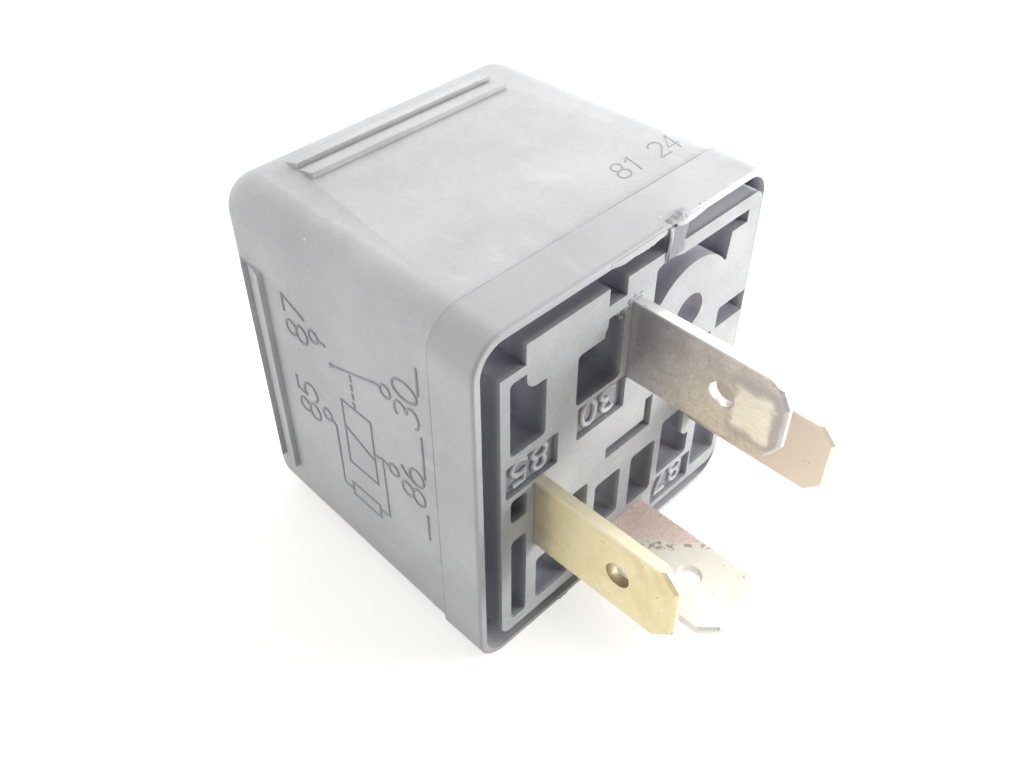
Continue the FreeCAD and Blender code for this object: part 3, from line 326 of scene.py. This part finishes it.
def dull_shade(tree, axes, colour, vector):
    """The upper blade: painted shade at its root and round its tip, with a tan patch rubbed bare beyond the
    hole.
    """
    along, up = axes[1], axes[2]
    # Painted shade by the root, where the blade leaves the base.
    root = ramp(tree, along, -12.5, -7.4)
    colour = tint(tree, colour, root, 0.62, (184, 182, 190))
    wobble = calc(tree, "SUBTRACT", cloud(tree, vector, 0.8, 3, 0.6), 0.5)
    ahead = calc(tree, "MULTIPLY_ADD", wobble, 1.1, along)
    high = calc(tree, "MULTIPLY_ADD", wobble, 1.3, up)
    ring = times(tree, window(tree, ahead, -18.7, -14.9, 0.3), window(tree, high, 20.3, 24.9, 0.4))
    patch = times(tree, window(tree, ahead, -17.7, -15.1, 0.22), window(tree, high, 20.9, 24.2, 0.35))
    tip_shade = ramp(tree, along, -17.6, -18.3)
    speckle = ramp(tree, cloud(tree, vector, 3.2, 4, 0.75), 0.40, 0.66)
    colour = tint(tree, colour, speckle, 0.38, (176, 166, 160))
    # Painted shade round the tip, from the ring and the tip's edge.
    dark = calc(tree, "MAXIMUM", times(tree, ring, 0.8), times(tree, tip_shade, 0.75))
    colour = mix(tree, dark, colour, tone(188, 182, 184))
    streaks = ramp(tree, cloud(tree, stretched(tree, vector, 1, 0.55, 2.6), 1.1, 4, 0.6), 0.30, 0.60)
    tan = mix(tree, streaks, tone(244, 238, 228), tone(255, 254, 250))
    colour = mix(tree, patch, colour, tan)
    # Painted highlight along the blade's upper edge.
    top_highlight = ramp(tree, up, 25.62, 25.78)
    return tint(tree, colour, top_highlight, 0.85, (240, 238, 236))


def brass_shade(tree, axes, colour, vector):
    """The coil blades: grey-green by the base, painted highlight along the upper edge, brown painted shade
    in the hole.
    """
    across, along, up = axes
    ahead = calc(tree, "SUBTRACT", along, LATCH_HOLE)
    above = calc(tree, "SUBTRACT", up, SIDE_BLADES)
    hole = ramp(tree, distance(tree, ahead, above), 0.96, 0.90)
    root = ramp(tree, calc(tree, "MULTIPLY_ADD", cloud(tree, vector, 0.7, 2), 1.2, along), -8.6, -6.9)
    # Painted light: the right-hand blade is painted paler and less yellow, for the glare on the right.
    colour = mix(tree, ramp(tree, across, -1, 1), colour, tone(240, 226, 211))
    colour = tint(tree, colour, root, 0.75, (180, 173, 152))
    # Painted highlight along the upper edge.
    edge = ramp(tree, up, 15.75, 16.05)
    colour = tint(tree, colour, edge, 0.6, (252, 244, 220))
    # Painted shade, brown, inside the latch hole.
    return tint(tree, colour, hole, 0.9, (142, 128, 98))


def bright_shade(tree, axes, colour, vector):
    """The lower blade: copper-pink by its root, with its bright plating worn back in a ragged line."""
    across, along, up = axes
    wobble = calc(tree, "SUBTRACT", cloud(tree, vector, 0.8, 4, 0.7), 0.5)
    ragged = calc(tree, "MULTIPLY_ADD", wobble, 2.4, along)
    ragged = calc(tree, "MULTIPLY_ADD", across, 1.1, ragged)
    root = ramp(tree, ragged, -10.1, -9.3)
    grains = ramp(tree, cloud(tree, vector, 3.5, 3, 0.7), 0.40, 0.62)
    pink = mix(tree, ramp(tree, along, -10.5, -7.0), tone(242, 224, 214), tone(236, 216, 206))
    pink = tint(tree, pink, grains, 0.35, (206, 176, 162))
    colour = mix(tree, root, colour, pink)
    flaked = ramp(tree, cloud(tree, vector, 2.2, 3), 0.45, 0.58)
    edge = times(tree, window(tree, ragged, -10.6, -9.9, 0.25), flaked)
    colour = tint(tree, colour, edge, 0.7, (150, 110, 96))
    # Painted reflection: the blade's lower part is painted pale pinkish white.
    under = ramp(tree, up, 4.12, 3.95)
    return tint(tree, colour, under, 0.6, (250, 236, 226))


def coated(name, colour, other, scale, rough, metallic=0.0, bump=0.004):
    """A lacquer, enamel or tape: two close colours in soft bands with fine lines round the piece."""
    material, tree, shader = start_material(name)
    vector = millimetres(tree)[0]
    grain = use(tree, grain_group, vector, 1.4)
    lines = {"Vector": vector, "Scale": scale, "Distortion": 0.6, "Detail": 2}
    bands = put(tree, "TexWave", lines, bands_direction="Y").outputs["Fac"]
    body = tint(tree, tone(*colour), bands, 0.6, other)
    body = tint(tree, body, grain["Rub"], 0.3, other)
    gloss = calc(tree, "MULTIPLY_ADD", grain["Mottle"], 0.15, rough - 0.05)
    raised = calc(tree, "MULTIPLY_ADD", grain["Height"], 0.2, bands)
    connect(tree, shader, body, gloss, raised, bump)
    shader.inputs["Metallic"].default_value = metallic
    return material


# Light and dark tone, roughness, bump in millimetres, shade and fineness
MOULDED = {
    "cover_plastic": ((191, 192, 193), (176, 177, 179), 0.5, 0.016, cover_shade),
    # base_plastic: the cover's plastic in a darker tone, painted shade for the base face, which faces away
    # from the light.
    "base_plastic": ((162, 163, 165), (143, 144, 147), 0.48, 0.014, base_shade),
    # mark_plastic: on the raised side marks its darker tone is painted shade of the cover's own plastic.
    "mark_plastic": ((159, 159, 163), (141, 141, 146), 0.55, 0.01),
    "digit_plastic": ((178, 180, 183), (160, 162, 167), 0.5, 0.01),
    "flap_plastic": ((128, 129, 135), (112, 113, 120), 0.5, 0.02),
    "burr_plastic": ((176, 177, 179), (136, 136, 142), 0.6, 0.04),
    "torn_plastic": ((206, 206, 208), (150, 150, 154), 0.6, 0.03),
    "spool_plastic": ((224, 218, 204), (212, 204, 188), 0.45, 0.008, None, 1.5),
}
# Tone, worn tone, tarnish, metallic share, roughness, shade, strength of rolling lines and fineness
METALS = {
    "dull_blade": ((232, 226, 221), (246, 242, 237), (208, 200, 195), 0.75, 0.36, dull_shade, 0.12),
    "brass_blade": ((248, 234, 190), (252, 243, 210), (235, 218, 168), 0.6, 0.4, brass_shade, 0.2),
    # bright_blade: pale plating, with a near-white tone that also paints the glare on the lower blade.
    "bright_blade": ((238, 236, 226), (248, 247, 243), (232, 226, 212), 0.35, 0.36, bright_shade),
    "contact_silver": ((228, 226, 220), (244, 243, 240), (190, 186, 178), 0.95, 0.25, None, 0.2, 2.0),
    "spring_alloy": ((206, 160, 118), (228, 190, 150), (176, 128, 92), 0.95, 0.3),
    "relay_iron": ((182, 184, 186), (214, 216, 218), (146, 148, 150), 0.9, 0.36),
    "rivet_steel": ((190, 192, 194), (220, 222, 224), (150, 152, 154), 0.95, 0.3),
    "spring_steel": ((188, 190, 192), (220, 222, 224), (150, 150, 150), 0.95, 0.28),
    "tinned_wire": ((214, 214, 212), (236, 236, 234), (176, 176, 172), 0.95, 0.3, None, 0.2, 2.0),
}
# Tone, second tone, closeness of the bands, roughness, metallic share and bump in millimetres
COATED = {
    "copper_wire": ((196, 110, 66), (150, 72, 40), 2.2, 0.28, 0.85, 0.03),
    "insulating_tape": ((222, 178, 74), (204, 156, 56), 0.5, 0.32),
    "resistor_coat": ((150, 170, 142), (120, 142, 116), 0.4, 0.3),
}
materials = {name: moulded(name, *finish) for name, finish in MOULDED.items()}
materials.update({name: metal(name, *finish) for name, finish in METALS.items()})
materials.update({name: coated(name, *finish) for name, finish in COATED.items()})


# Help for building pieces

def add_object(name, data):
    """Put an object with the given data into the scene."""
    made = bpy.data.objects.new(name, data)
    bpy.context.scene.collection.objects.link(made)
    return made


def smooth_mesh(mesh, crease):
    """Smooth shading, with a crease wherever faces meet at more than an angle in degrees."""
    mesh.shade_smooth()
    mesh.set_sharp_from_angle(angle=math.radians(crease))


def evaluated(piece):
    """The mesh that a piece's modifiers make."""
    bpy.context.view_layer.update()
    graph = bpy.context.evaluated_depsgraph_get()
    return bpy.data.meshes.new_from_object(piece.evaluated_get(graph))


def mesh_object(name, builder, slot, crease=35):
    """Finish a mesh piece: its object, its material and its shading."""
    mesh = bpy.data.meshes.new(name)
    bmesh.ops.recalc_face_normals(builder, faces=builder.faces)
    builder.to_mesh(mesh)
    builder.free()
    mesh.materials.append(materials[slot])
    smooth_mesh(mesh, crease)
    return add_object(name, mesh)


def attach(piece, body="housing"):
    """Give a piece its body."""
    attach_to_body(piece, body)


def loft(builder, sections):
    """Join closed sections of equal length into one skin with closed ends."""
    rings = [[builder.verts.new(Vector(point) * MM) for point in section] for section in sections]
    count = len(rings[0])
    for near, far in zip(rings, rings[1:]):
        for turn in range(count):
            following = (turn + 1) % count
            builder.faces.new((near[turn], near[following], far[following], far[turn]))
    builder.faces.new(rings[0])
    builder.faces.new(rings[-1])


def lump(builder, centre, size, seed):
    """A ragged ball with its own reach along each axis."""
    made = bmesh.ops.create_icosphere(builder, subdivisions=2, radius=1)
    for vertex in made["verts"]:
        push = 1 + 0.45 * noise.noise(vertex.co * 1.7 + Vector((seed * 3.1, seed, 0)))
        shift = Vector([part * reach * push for part, reach in zip(vertex.co, size)])
        vertex.co = (Vector(centre) + shift) * MM


def bend(centre, reach, start, stop, steps=14):
    """Points on part of an ellipse, between two angles in degrees."""
    points = []
    for step in range(steps + 1):
        angle = math.radians(start + (stop - start) * step / steps)
        points.append((centre[0] + reach[0] * math.cos(angle), centre[1] + reach[1] * math.sin(angle)))
    return points


DIGITS = {
    "0": [bend((0.31, 0.5), (0.31, 0.5), 0, 360, 20)],
    "1": [[(0.1, 0.78), (0.36, 1), (0.33, 0)]],
    "2": [bend((0.31, 0.7), (0.31, 0.3), 165, -35) + [(0, 0), (0.62, 0)]],
    "3": [bend((0.28, 0.75), (0.28, 0.25), 150, -90) + bend((0.28, 0.25), (0.33, 0.25), 90, -150)],
    "4": [[(0.45, 0), (0.45, 1), (0, 0.3), (0.62, 0.3)]],
    "5": [[(0.58, 1), (0.08, 1), (0.04, 0.55)] + bend((0.28, 0.32), (0.33, 0.32), 130, -150)],
    "6": [bend((0.31, 0.3), (0.31, 0.3), 0, 360), bend((0.62, 0.3), (0.62, 0.7), 180, 115)],
    "7": [[(0, 1), (0.62, 1), (0.2, 0)]],
    "8": [bend((0.31, 0.755), (0.25, 0.245), 0, 360), bend((0.31, 0.26), (0.31, 0.26), 0, 360)],
}


def digits(text, height, gap):
    """The strokes of a number, with its lower left corner at the origin."""
    strokes = []
    for number, digit in enumerate(text):
        shift = number * (DIGIT_WIDTH * height + gap)
        for stroke in DIGITS.get(digit, []):
            strokes.append([(across * height + shift, up * height) for across, up in stroke])
    return strokes


# Geometry trees: raised strokes and torn crumbs

def start_tree(name, sizes):
    """Start a geometry tree that takes a mesh, its named sizes and a material."""
    tree = bpy.data.node_groups.new(name, "GeometryNodeTree")
    tree.interface.new_socket("Geometry", in_out="INPUT", socket_type="NodeSocketGeometry")
    for label, kind in (*sizes, ("Material", "Material")):
        tree.interface.new_socket(label, in_out="INPUT", socket_type="NodeSocket" + kind)
    tree.interface.new_socket("Geometry", in_out="OUTPUT", socket_type="NodeSocketGeometry")
    return tree, tree.nodes.new("NodeGroupInput").outputs


def end_tree(tree, shape, material):
    smooth = place(tree, "GeometryNodeSetShadeSmooth", {0: shape})
    real = place(tree, "GeometryNodeRealizeInstances", {0: smooth.outputs[0]})
    coloured = place(tree, "GeometryNodeSetMaterial", {0: real.outputs[0], "Material": material})
    place(tree, "NodeGroupOutput", {0: coloured.outputs[0]})
    return tree


def make_stroke_tree():
    """A round section swept along every line."""
    tree, given = start_tree("raised_strokes", (("Radius", "Float"), ("Sides", "Int")))
    lines = place(tree, "GeometryNodeMeshToCurve", {0: given["Geometry"]})
    sizes = {"Resolution": given["Sides"], "Radius": given["Radius"]}
    section = place(tree, "GeometryNodeCurvePrimitiveCircle", sizes)
    sweep = {0: lines.outputs[0], 1: section.outputs[0], "Fill Caps": True}
    swept = place(tree, "GeometryNodeCurveToMesh", sweep)
    return end_tree(tree, swept.outputs[0], given["Material"])


def make_crumb_tree():
    """A lump on every point, of the size the point carries, tilted at random and made ragged by noise."""
    sizes = (("Stretch", "Vector"), ("Tilt", "Float"), ("Raggedness", "Float"), ("Seed", "Int"))
    tree, given = start_tree("torn_crumbs", sizes)
    ball = place(tree, "GeometryNodeMeshIcoSphere", {"Radius": 1.0, "Subdivisions": 3})
    size = place(tree, "GeometryNodeInputNamedAttribute", {"Name": "size"}, data_type="FLOAT")
    scale = scaled(tree, given["Stretch"], size.outputs[0])
    least = scaled(tree, (-1, -1, -1), given["Tilt"])
    most = scaled(tree, (1, 1, 1), given["Tilt"])
    limits = {0: least, 1: most, "Seed": given["Seed"]}
    tilt = place(tree, "FunctionNodeRandomValue", limits, data_type="FLOAT_VECTOR").outputs[0]
    spread = {0: given["Geometry"], "Instance": ball.outputs[0], "Rotation": tilt, "Scale": scale}
    placed = place(tree, "GeometryNodeInstanceOnPoints", spread)
    crumbs = place(tree, "GeometryNodeRealizeInstances", {0: placed.outputs[0]})
    spot = place(tree, "GeometryNodeInputPosition").outputs[0]
    rough = cloud(tree, spot, 3500, 2)
    push = times(tree, calc(tree, "SUBTRACT", rough, 0.5), given["Raggedness"])
    outward = place(tree, "GeometryNodeInputNormal").outputs[0]
    offset = scaled(tree, outward, push)
    ragged = place(tree, "GeometryNodeSetPosition", {0: crumbs.outputs[0], "Offset": offset})
    return end_tree(tree, ragged.outputs[0], given["Material"])


stroke_tree = make_stroke_tree()
crumb_tree = make_crumb_tree()


def grow(name, mesh, tree, slot, values):
    """Run a geometry tree on a mesh and keep what it makes as a plain mesh."""
    piece = add_object(name, mesh)
    modifier = piece.modifiers.new("grow", "NODES")
    modifier.node_group = tree
    values = {**values, "Material": materials[slot]}
    for socket in tree.interface.items_tree:
        if socket.in_out == "INPUT" and socket.name in values:
            modifier[socket.identifier] = values[socket.name]
    builder = bmesh.new()
    builder.from_mesh(evaluated(piece))
    bpy.data.objects.remove(piece)
    return mesh_object(name, builder, slot, 60)


def beads(name, strokes, radius, slot):
    """Round strokes along lists of points in space."""
    points, edges = [], []
    for stroke in strokes:
        closed = (Vector(stroke[0]) - Vector(stroke[-1])).length < 0.001
        first = len(points)
        points += [Vector(point) * MM for point in (stroke[:-1] if closed else stroke)]
        edges += [(near, near + 1) for near in range(first, len(points) - 1)]
        if closed:
            edges.append((len(points) - 1, first))
    mesh = bpy.data.meshes.new(name)
    mesh.from_pydata(points, edges, [])
    return grow(name, mesh, stroke_tree, slot, {"Radius": radius * MM, "Sides": 10})


def crumble(name, spots, slot, stretch, tilt, raggedness, seed):
    """Torn crumbs at the given places, each with its own size."""
    mesh = bpy.data.meshes.new(name)
    mesh.from_pydata([Vector(spot[:3]) * MM for spot in spots], [], [])
    sizes = mesh.attributes.new("size", "FLOAT", "POINT")
    for number, spot in enumerate(spots):
        sizes.data[number].value = spot[3] * MM
    values = {"Stretch": stretch, "Tilt": tilt, "Raggedness": raggedness * MM, "Seed": seed}
    return grow(name, mesh, crumb_tree, slot, values)


# Finishes of the modelled nodes

def break_edges(piece, width):
    """Break a piece's sharp edges by a width in millimetres."""
    edge = piece.modifiers.new("edge", "BEVEL")
    edge.limit_method = "ANGLE"
    edge.angle_limit = SHARP
    edge.width = width * MM
    edge.segments = 2
    edge.use_clamp_overlap = True
    edge.harden_normals = True


def dress_node(node, width):
    """Weld a node's corners and break its sharp edges, without moving its shape."""
    weld = node.modifiers.new("weld", "WELD")
    weld.merge_threshold = WELD
    flat = node.modifiers.new("flat", "DECIMATE")
    flat.decimate_type = "DISSOLVE"
    flat.angle_limit = FLAT
    break_edges(node, width)


record_slots = {part["node"]: part["material_slot"] for part in frame["record"]["subparts"]}
for name, node in nodes.items():
    material = materials[record_slots[name]]
    node.data.materials.clear()
    node.data.materials.append(material)

for name, width in (
    ("base", 0.12),
    ("terminal_30", 0.1),
    ("terminal_85", 0.07),
    ("terminal_86", 0.07),
    ("terminal_87", 0.07),
    ("yoke", 0.1),
    ("armature", 0.08),
):
    dress_node(nodes[name], width)


# The cover, with the torn place on its rim

def gouge_cutter():
    """A ragged bite out of the upper lip of the rim."""
    builder = bmesh.new()
    lump(builder, (3.15, RIM - 0.1, 29.2), (0.55, 0.85, 0.42), 4)
    lump(builder, (3.9, RIM - 0.2, 29.15), (0.8, 0.5, 0.22), 9)
    lump(builder, (2.2, RIM - 0.2, 29.1), (0.9, 0.4, 0.2), 6)
    return mesh_object("gouge_cutter", builder, "cover_plastic")


def make_cover_shell():
    """A copy of the cover with the bite taken out, which is shown in its place."""
    builder = bmesh.new()
    builder.from_mesh(nodes["cover"].data)
    bmesh.ops.remove_doubles(builder, verts=builder.verts, dist=WELD)
    bmesh.ops.dissolve_limit(builder, angle_limit=FLAT, verts=builder.verts, edges=builder.edges)
    shell = mesh_object("cover_shell", builder, "cover_plastic", COVER_CREASE)
    cutter = gouge_cutter()
    bite = shell.modifiers.new("bite", "BOOLEAN")
    bite.operation = "DIFFERENCE"
    bite.object = cutter
    bite.solver = "EXACT"
    bite.use_self = True
    carved = evaluated(shell)
    shell.modifiers.clear()
    shell.data = carved
    carved.name = "cover_shell"
    carved.materials.clear()
    carved.materials.append(materials["cover_plastic"])
    smooth_mesh(carved, COVER_CREASE)
    bpy.data.objects.remove(cutter)
    break_edges(shell, 0.06)
    attach(shell)
    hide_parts("cover")


make_cover_shell()


def lip(x, low, high, forward):
    """A section of a plastic lip that clings to the rim's upper edge."""
    back = RIM + 0.5
    return [
        (x, back, high + 0.02),
        (x, RIM - forward * 0.5, high),
        (x, RIM - forward, (low + high) / 2 + 0.05),
        (x, RIM - forward * 0.6, low),
        (x, back, low + 0.06),
    ]


def make_rim_burr():
    """Plastic pushed down over the mouth and outward along the rim, on both sides of the bite."""
    builder = bmesh.new()
    for start, stop, count in ((-2.6, 2.75, 46), (3.55, 6.6, 30)):
        sections = []
        for step in range(count + 1):
            x = start + (stop - start) * step / count
            fade = min(1, 4 * step / count, 4 * (count - step) / count)
            wave = noise.noise(Vector((x * 0.9, 3.1, 0))) * 0.5 + 0.5
            fine = noise.noise(Vector((x * 3.4, 7.7, 0)))
            swell = math.exp(-((x - 3.7) / 1.1) ** 2)
            low = 29.27 - fade * (0.04 + 0.26 * wave * (1 if x < 3 else 0.35) + 0.05 * fine)
            high = 29.62 + fade * (0.10 * swell + 0.03 * fine)
            sections.append(lip(x, low, high, 0.02 + fade * (0.05 + 0.05 * wave + 0.16 * swell)))
        loft(builder, sections)
    attach(mesh_object("rim_burr", builder, "cover_plastic", 60))


def make_top_burr():
    """The torn ridge that stands up behind the bite."""
    builder = bmesh.new()
    sections = []
    foot = 29.66
    for step in range(41):
        x = 2.35 + 3.3 * step / 40
        swell = math.exp(-((x - 4.15) / 0.75) ** 2) + 0.35 * math.exp(-((x - 3.0) / 0.35) ** 2)
        rough = noise.noise(Vector((x * 2.6, 1.3, 0)))
        high = 29.74 + 0.34 * swell + 0.07 * rough
        y = RIM + 0.30 + 0.10 * noise.noise(Vector((x * 1.7, 5.0, 0)))
        wide = 0.18 + 0.30 * swell
        section = []
        for turn in range(10):
            angle = math.pi * turn / 9
            bump = 1 + 0.35 * noise.noise(Vector((x * 3.5, turn * 0.8, 2)))
            out = wide * math.cos(angle) * bump
            section.append((x, y - out, foot + (high - foot) * math.sin(angle) * bump))
        sections.append(section)
    loft(builder, sections)
    attach(mesh_object("top_burr", builder, "burr_plastic", 70))


def make_rim_crumbs():
    """Crumbs along the torn edge, beside the bite."""
    sizes = ((5.9, 0.075), (6.35, 0.05), (7.3, 0.06), (8.5, 0.045), (-1.2, 0.05), (0.4, 0.045), (2.1, 0.06))
    spots = [(x, RIM + 0.16, 29.76, size) for x, size in sizes]
    attach(crumble("rim_crumbs", spots, "burr_plastic", (2.2, 1, 1), 0.3, 0.05, 3))


def make_torn_flake():
    """A pale folded sliver that hangs from the torn lip in front of the base."""
    builder = bmesh.new()
    sections = []
    for step in range(19):
        share = step / 18
        x = 2.78 - 0.36 * share + 0.04 * math.sin(share * 7)
        y = RIM - 0.20 - 0.12 * math.sin(share * 3.0)
        z = 29.62 - 2.45 * share
        wide = 0.15 * (1 - 0.55 * share)
        outline = ((-wide, 0.05), (-wide * 0.2, -0.05), (wide, 0), (wide, 0.06), (0, 0.03))
        sections.append([(x + across, y + behind, z) for across, behind in outline])
    loft(builder, sections)
    attach(mesh_object("torn_flake", builder, "torn_plastic", 60))


def make_torn_flap():
    """The flap of the lip's plastic that is folded down over the groove beside the sliver."""
    builder = bmesh.new()
    rings = []
    for step in range(13):
        share = step / 12
        z = 29.35 - 2.0 * share
        y = RIM - 0.02 - 0.26 * math.sin(share * 1.7) - 0.02
        right = 4.75 - 0.55 * share + 0.08 * math.sin(share * 9)
        row = []
        for turn in range(11):
            across = turn / 10
            x = 2.82 - 0.2 * share + (right - 2.82 + 0.2 * share) * across
            ripple = 0.035 * noise.noise(Vector((x * 4, z * 0.5, 3)))
            row.append((x, y + ripple + 0.10 * across ** 3, z))
        rings.append(row + [(x, y + 0.12, z) for x, y, z in reversed(row)])
    loft(builder, rings)
    attach(mesh_object("torn_flap", builder, "flap_plastic", 60))


def make_low_burr():
    """A small burr under the lower rim."""
    spots = [(-5.5, RIM + 0.1, 0.14, 0.12), (-5.0, RIM + 0.06, 0.17, 0.1)]
    attach(crumble("low_burr", spots, "cover_plastic", (3, 1.4, 0.9), 0.1, 0.05, 5))


def make_step_nicks():
    """Worn nicks on the step of the skirt, one on the upper face and one on the left."""
    above = ((-4.9, 0.09), (-4.5, 0.11), (-4.1, 0.1), (-3.7, 0.07))
    beside = ((10.3, 0.07), (10.7, 0.09), (11.1, 0.07))
    spots = [(x, RIM + 3.7, 29.70, size) for x, size in above]
    spots += [(-13.62, RIM + STEP, z, size) for z, size in beside]
    attach(crumble("step_nicks", spots, "torn_plastic", (1.3, 0.9, 0.9), 0.2, 0.06, 7))


def make_root_crumbs():
    """Broken plastic where the upper blade leaves the base."""
    places = (
        (-1.15, 25.55, 0.30), (-0.75, 25.95, 0.30), (-1.45, 25.15, 0.20), (-0.35, 26.15, 0.24),
        (0.3, 26.1, 0.18), (-1.7, 25.6, 0.18), (0.1, 26.45, 0.12),
    )
    spots = [(x, FACE + 0.12, z, size) for x, z, size in places]
    # Painted shade: the crumbs are the base's plastic, shown in the darker flap tone.
    attach(crumble("root_crumbs", spots, "flap_plastic", (1.25, 0.65, 1), 0.5, 0.22, 11))


make_rim_burr()
make_top_burr()
make_rim_crumbs()
make_torn_flake()
make_torn_flap()
make_low_burr()
make_step_nicks()
make_root_crumbs()


# Raised numbers and lines

def on_side(along, up, rise):
    """A point on the drafted left face, from its distance behind the rim and its height."""
    return (-(13.58 - (along - STEP) * DRAFT) - rise, along + RIM, up)


def on_top(across, along, rise):
    """A point on the drafted upper face."""
    return (across, along + RIM, MIDDLE + 14.73 - (along - STEP) * DRAFT + rise)


def make_recess_digits():
    """The numbers in the recesses beside the blades, upside down as the base is moulded."""
    strokes = []
    height, gap = 2.05, 0.55
    recess_floor = -6.73
    recesses = (("85", -9.15, 2.82), ("30", -2.72, 3.46), ("86", 6.8, 1.55), ("87", 6.75, -10.78))
    for text, across, up in recesses:
        right = across + (DIGIT_WIDTH * height * 2 + gap) / 2
        high = MIDDLE + up + height / 2
        for stroke in digits(text, height, gap):
            strokes.append([(right - along, recess_floor, high - rise) for along, rise in stroke])
    attach(beads("recess_digits", strokes, 0.19, "digit_plastic"))


def make_side_digits():
    """The numbers beside the schematic, which read upwards."""
    strokes = []
    numbers = (("87", 16.6, 19.75), ("30", 5.15, 20.1), ("85", 16.6, 12.6), ("86", 5.15, 12.75))
    for text, low, start in numbers:
        for stroke in digits(text, 2.35, 0.42):
            strokes.append([on_side(low + up, start + across, rise=-0.02) for across, up in stroke])
    attach(beads("side_digits", strokes, 0.115, "mark_plastic"))


def make_schematic():
    """The raised wiring diagram: contacts, coil and resistor."""
    def circle(along, up, radius=0.5):
        return bend((along, up), (radius, radius), 0, 360, 16)

    flat = [
        circle(15.8, 21.2), [(15.3, 21.2), (14.5, 21.18)], circle(8.32, 21.36),
        circle(15.58, 14.22), circle(8.3, 14.2),
        [(14.14, 19.79), (12.06, 20.45), (9.15, 21.44), (8.8, 21.4)], circle(14.14, 19.79, 0.12),
        [(10.37, 11.09), (10.37, 17.13), (13.5, 17.13), (13.5, 11.09), (10.37, 11.09)],
        [(13.5, 14.72), (10.37, 13.4)],
        [(15.08, 14.1), (14.66, 13.78), (14.66, 7.98), (13.62, 8.0)],
        [(13.62, 7.45), (13.62, 8.75), (10.5, 8.75), (10.5, 7.45), (13.62, 7.45)],
        [(10.5, 8.3), (9.4, 8.5), (9.46, 14.33), (8.8, 14.2)],
        [(10.37, 14.0), (9.46, 14.33)],
        [(5.0, 25.4), (5.0, 23.2)], [(5.0, 19.7), (5.0, 15.9)], [(5.0, 12.3), (5.0, 9.8)],
    ]
    for step in range(4):
        start = 20.2 - 0.8 * step
        flat.append([(12.05, start), (12.02, start - 0.5)])
    strokes = [[on_side(along, up, rise=-0.02) for along, up in stroke] for stroke in flat]
    attach(beads("side_schematic", strokes, 0.11, "mark_plastic"))


def make_lot_digits():
    """A small plain lot number pressed into the upper face."""
    strokes = []
    slant = 0.22
    for stroke in digits("81 24", 1.75, 0.2):
        points = [(4.9 + across + slant * up, 5.45 + up) for across, up in stroke]
        strokes.append([on_top(*point, rise=-0.075) for point in points])
    attach(beads("lot_digits", strokes, 0.11, "mark_plastic"))


make_recess_digits()
make_side_digits()
make_schematic()
make_lot_digits()


# Floor, lights and background

def make_floor():
    builder = bmesh.new()
    bmesh.ops.create_grid(builder, x_segments=2, y_segments=2, size=3)
    mesh = bpy.data.meshes.new("floor")
    builder.to_mesh(mesh)
    builder.free()
    material, tree, shader = start_material("white_sheet")
    paper = cloud(tree, millimetres(tree)[0], 0.8, 3)
    shader.inputs["Roughness"].default_value = 0.9
    shader.inputs["Specular IOR Level"].default_value = 0.1
    seen = put(tree, "LightPath").outputs["Is Camera Ray"]
    sheet = mix(tree, paper, tone(250, 249, 247), tone(248, 247, 245))
    tree.links.new(mix(tree, seen, sheet, tone(198, 197, 195)), shader.inputs["Base Color"])
    shader.inputs["Emission Color"].default_value = (1, 0.985, 0.96, 1)
    tree.links.new(times(tree, seen, 0.62), shader.inputs["Emission Strength"])
    mesh.materials.append(material)
    floor = add_object("floor", mesh)
    floor.location = (0, 0, -0.02 * MM)


def soft_box(name, spot, size, watts):
    """A square soft light that faces the object's middle."""
    lamp = bpy.data.lights.new(name, "AREA")
    lamp.size = size * MM
    lamp.energy = watts
    holder = add_object(name, lamp)
    holder.location = Vector(spot) * MM
    toward = Vector((0, 0, 15)) - Vector(spot)
    holder.rotation_euler = toward.to_track_quat("-Z", "Y").to_euler()


def overhead():
    """A wide, weak light from straight above."""
    lamp = bpy.data.lights.new("overhead", "SUN")
    lamp.energy = 0.6
    lamp.angle = math.radians(60)
    add_object("overhead", lamp)


def facing(tree, direction, aim):
    """How nearly a direction points toward an aim."""
    return put(tree, "VectorMath", {0: direction, 1: aim}, operation="DOT_PRODUCT").outputs["Value"]


def make_room():
    """A white room that is darker behind the camera. It is plain white where the camera sees it."""
    world = bpy.data.worlds.new("room")
    bpy.context.scene.world = world
    world.use_nodes = True
    tree = world.node_tree
    back = next(node for node in tree.nodes if node.type == "BACKGROUND")
    back.inputs["Color"].default_value = (1, 1, 1, 1)
    path = put(tree, "LightPath").outputs
    direction = put(tree, "TexCoord").outputs["Generated"]
    dim = ramp(tree, facing(tree, direction, (-0.52, -0.60, 0.61)), 0.2, 0.85)
    shine = calc(tree, "MAXIMUM", path["Is Glossy Ray"], path["Is Transmission Ray"])
    lit = calc(tree, "MULTIPLY_ADD", shine, 0.05, 0.95)
    lit = times(tree, lit, calc(tree, "MULTIPLY_ADD", dim, -0.95, 1))
    glow = ramp(tree, facing(tree, direction, (-0.85, 0.50, 0.12)), 0.55, 1.0)
    lit = calc(tree, "MULTIPLY_ADD", glow, 0.8, lit)
    height = put(tree, "SeparateXYZ", {0: direction}).outputs["Z"]
    lit = calc(tree, "MULTIPLY_ADD", ramp(tree, height, 0.5, 0.0), 0.82, lit)
    strength = calc(tree, "MAXIMUM", lit, path["Is Camera Ray"])
    tree.links.new(strength, back.inputs["Strength"])


make_floor()
make_room()
soft_box("key", (70, 50, 95), 80, 0.07)
soft_box("side", (45, -58, 38), 36, 0.063)
overhead()
bpy.context.scene.view_settings.view_transform = "Standard"
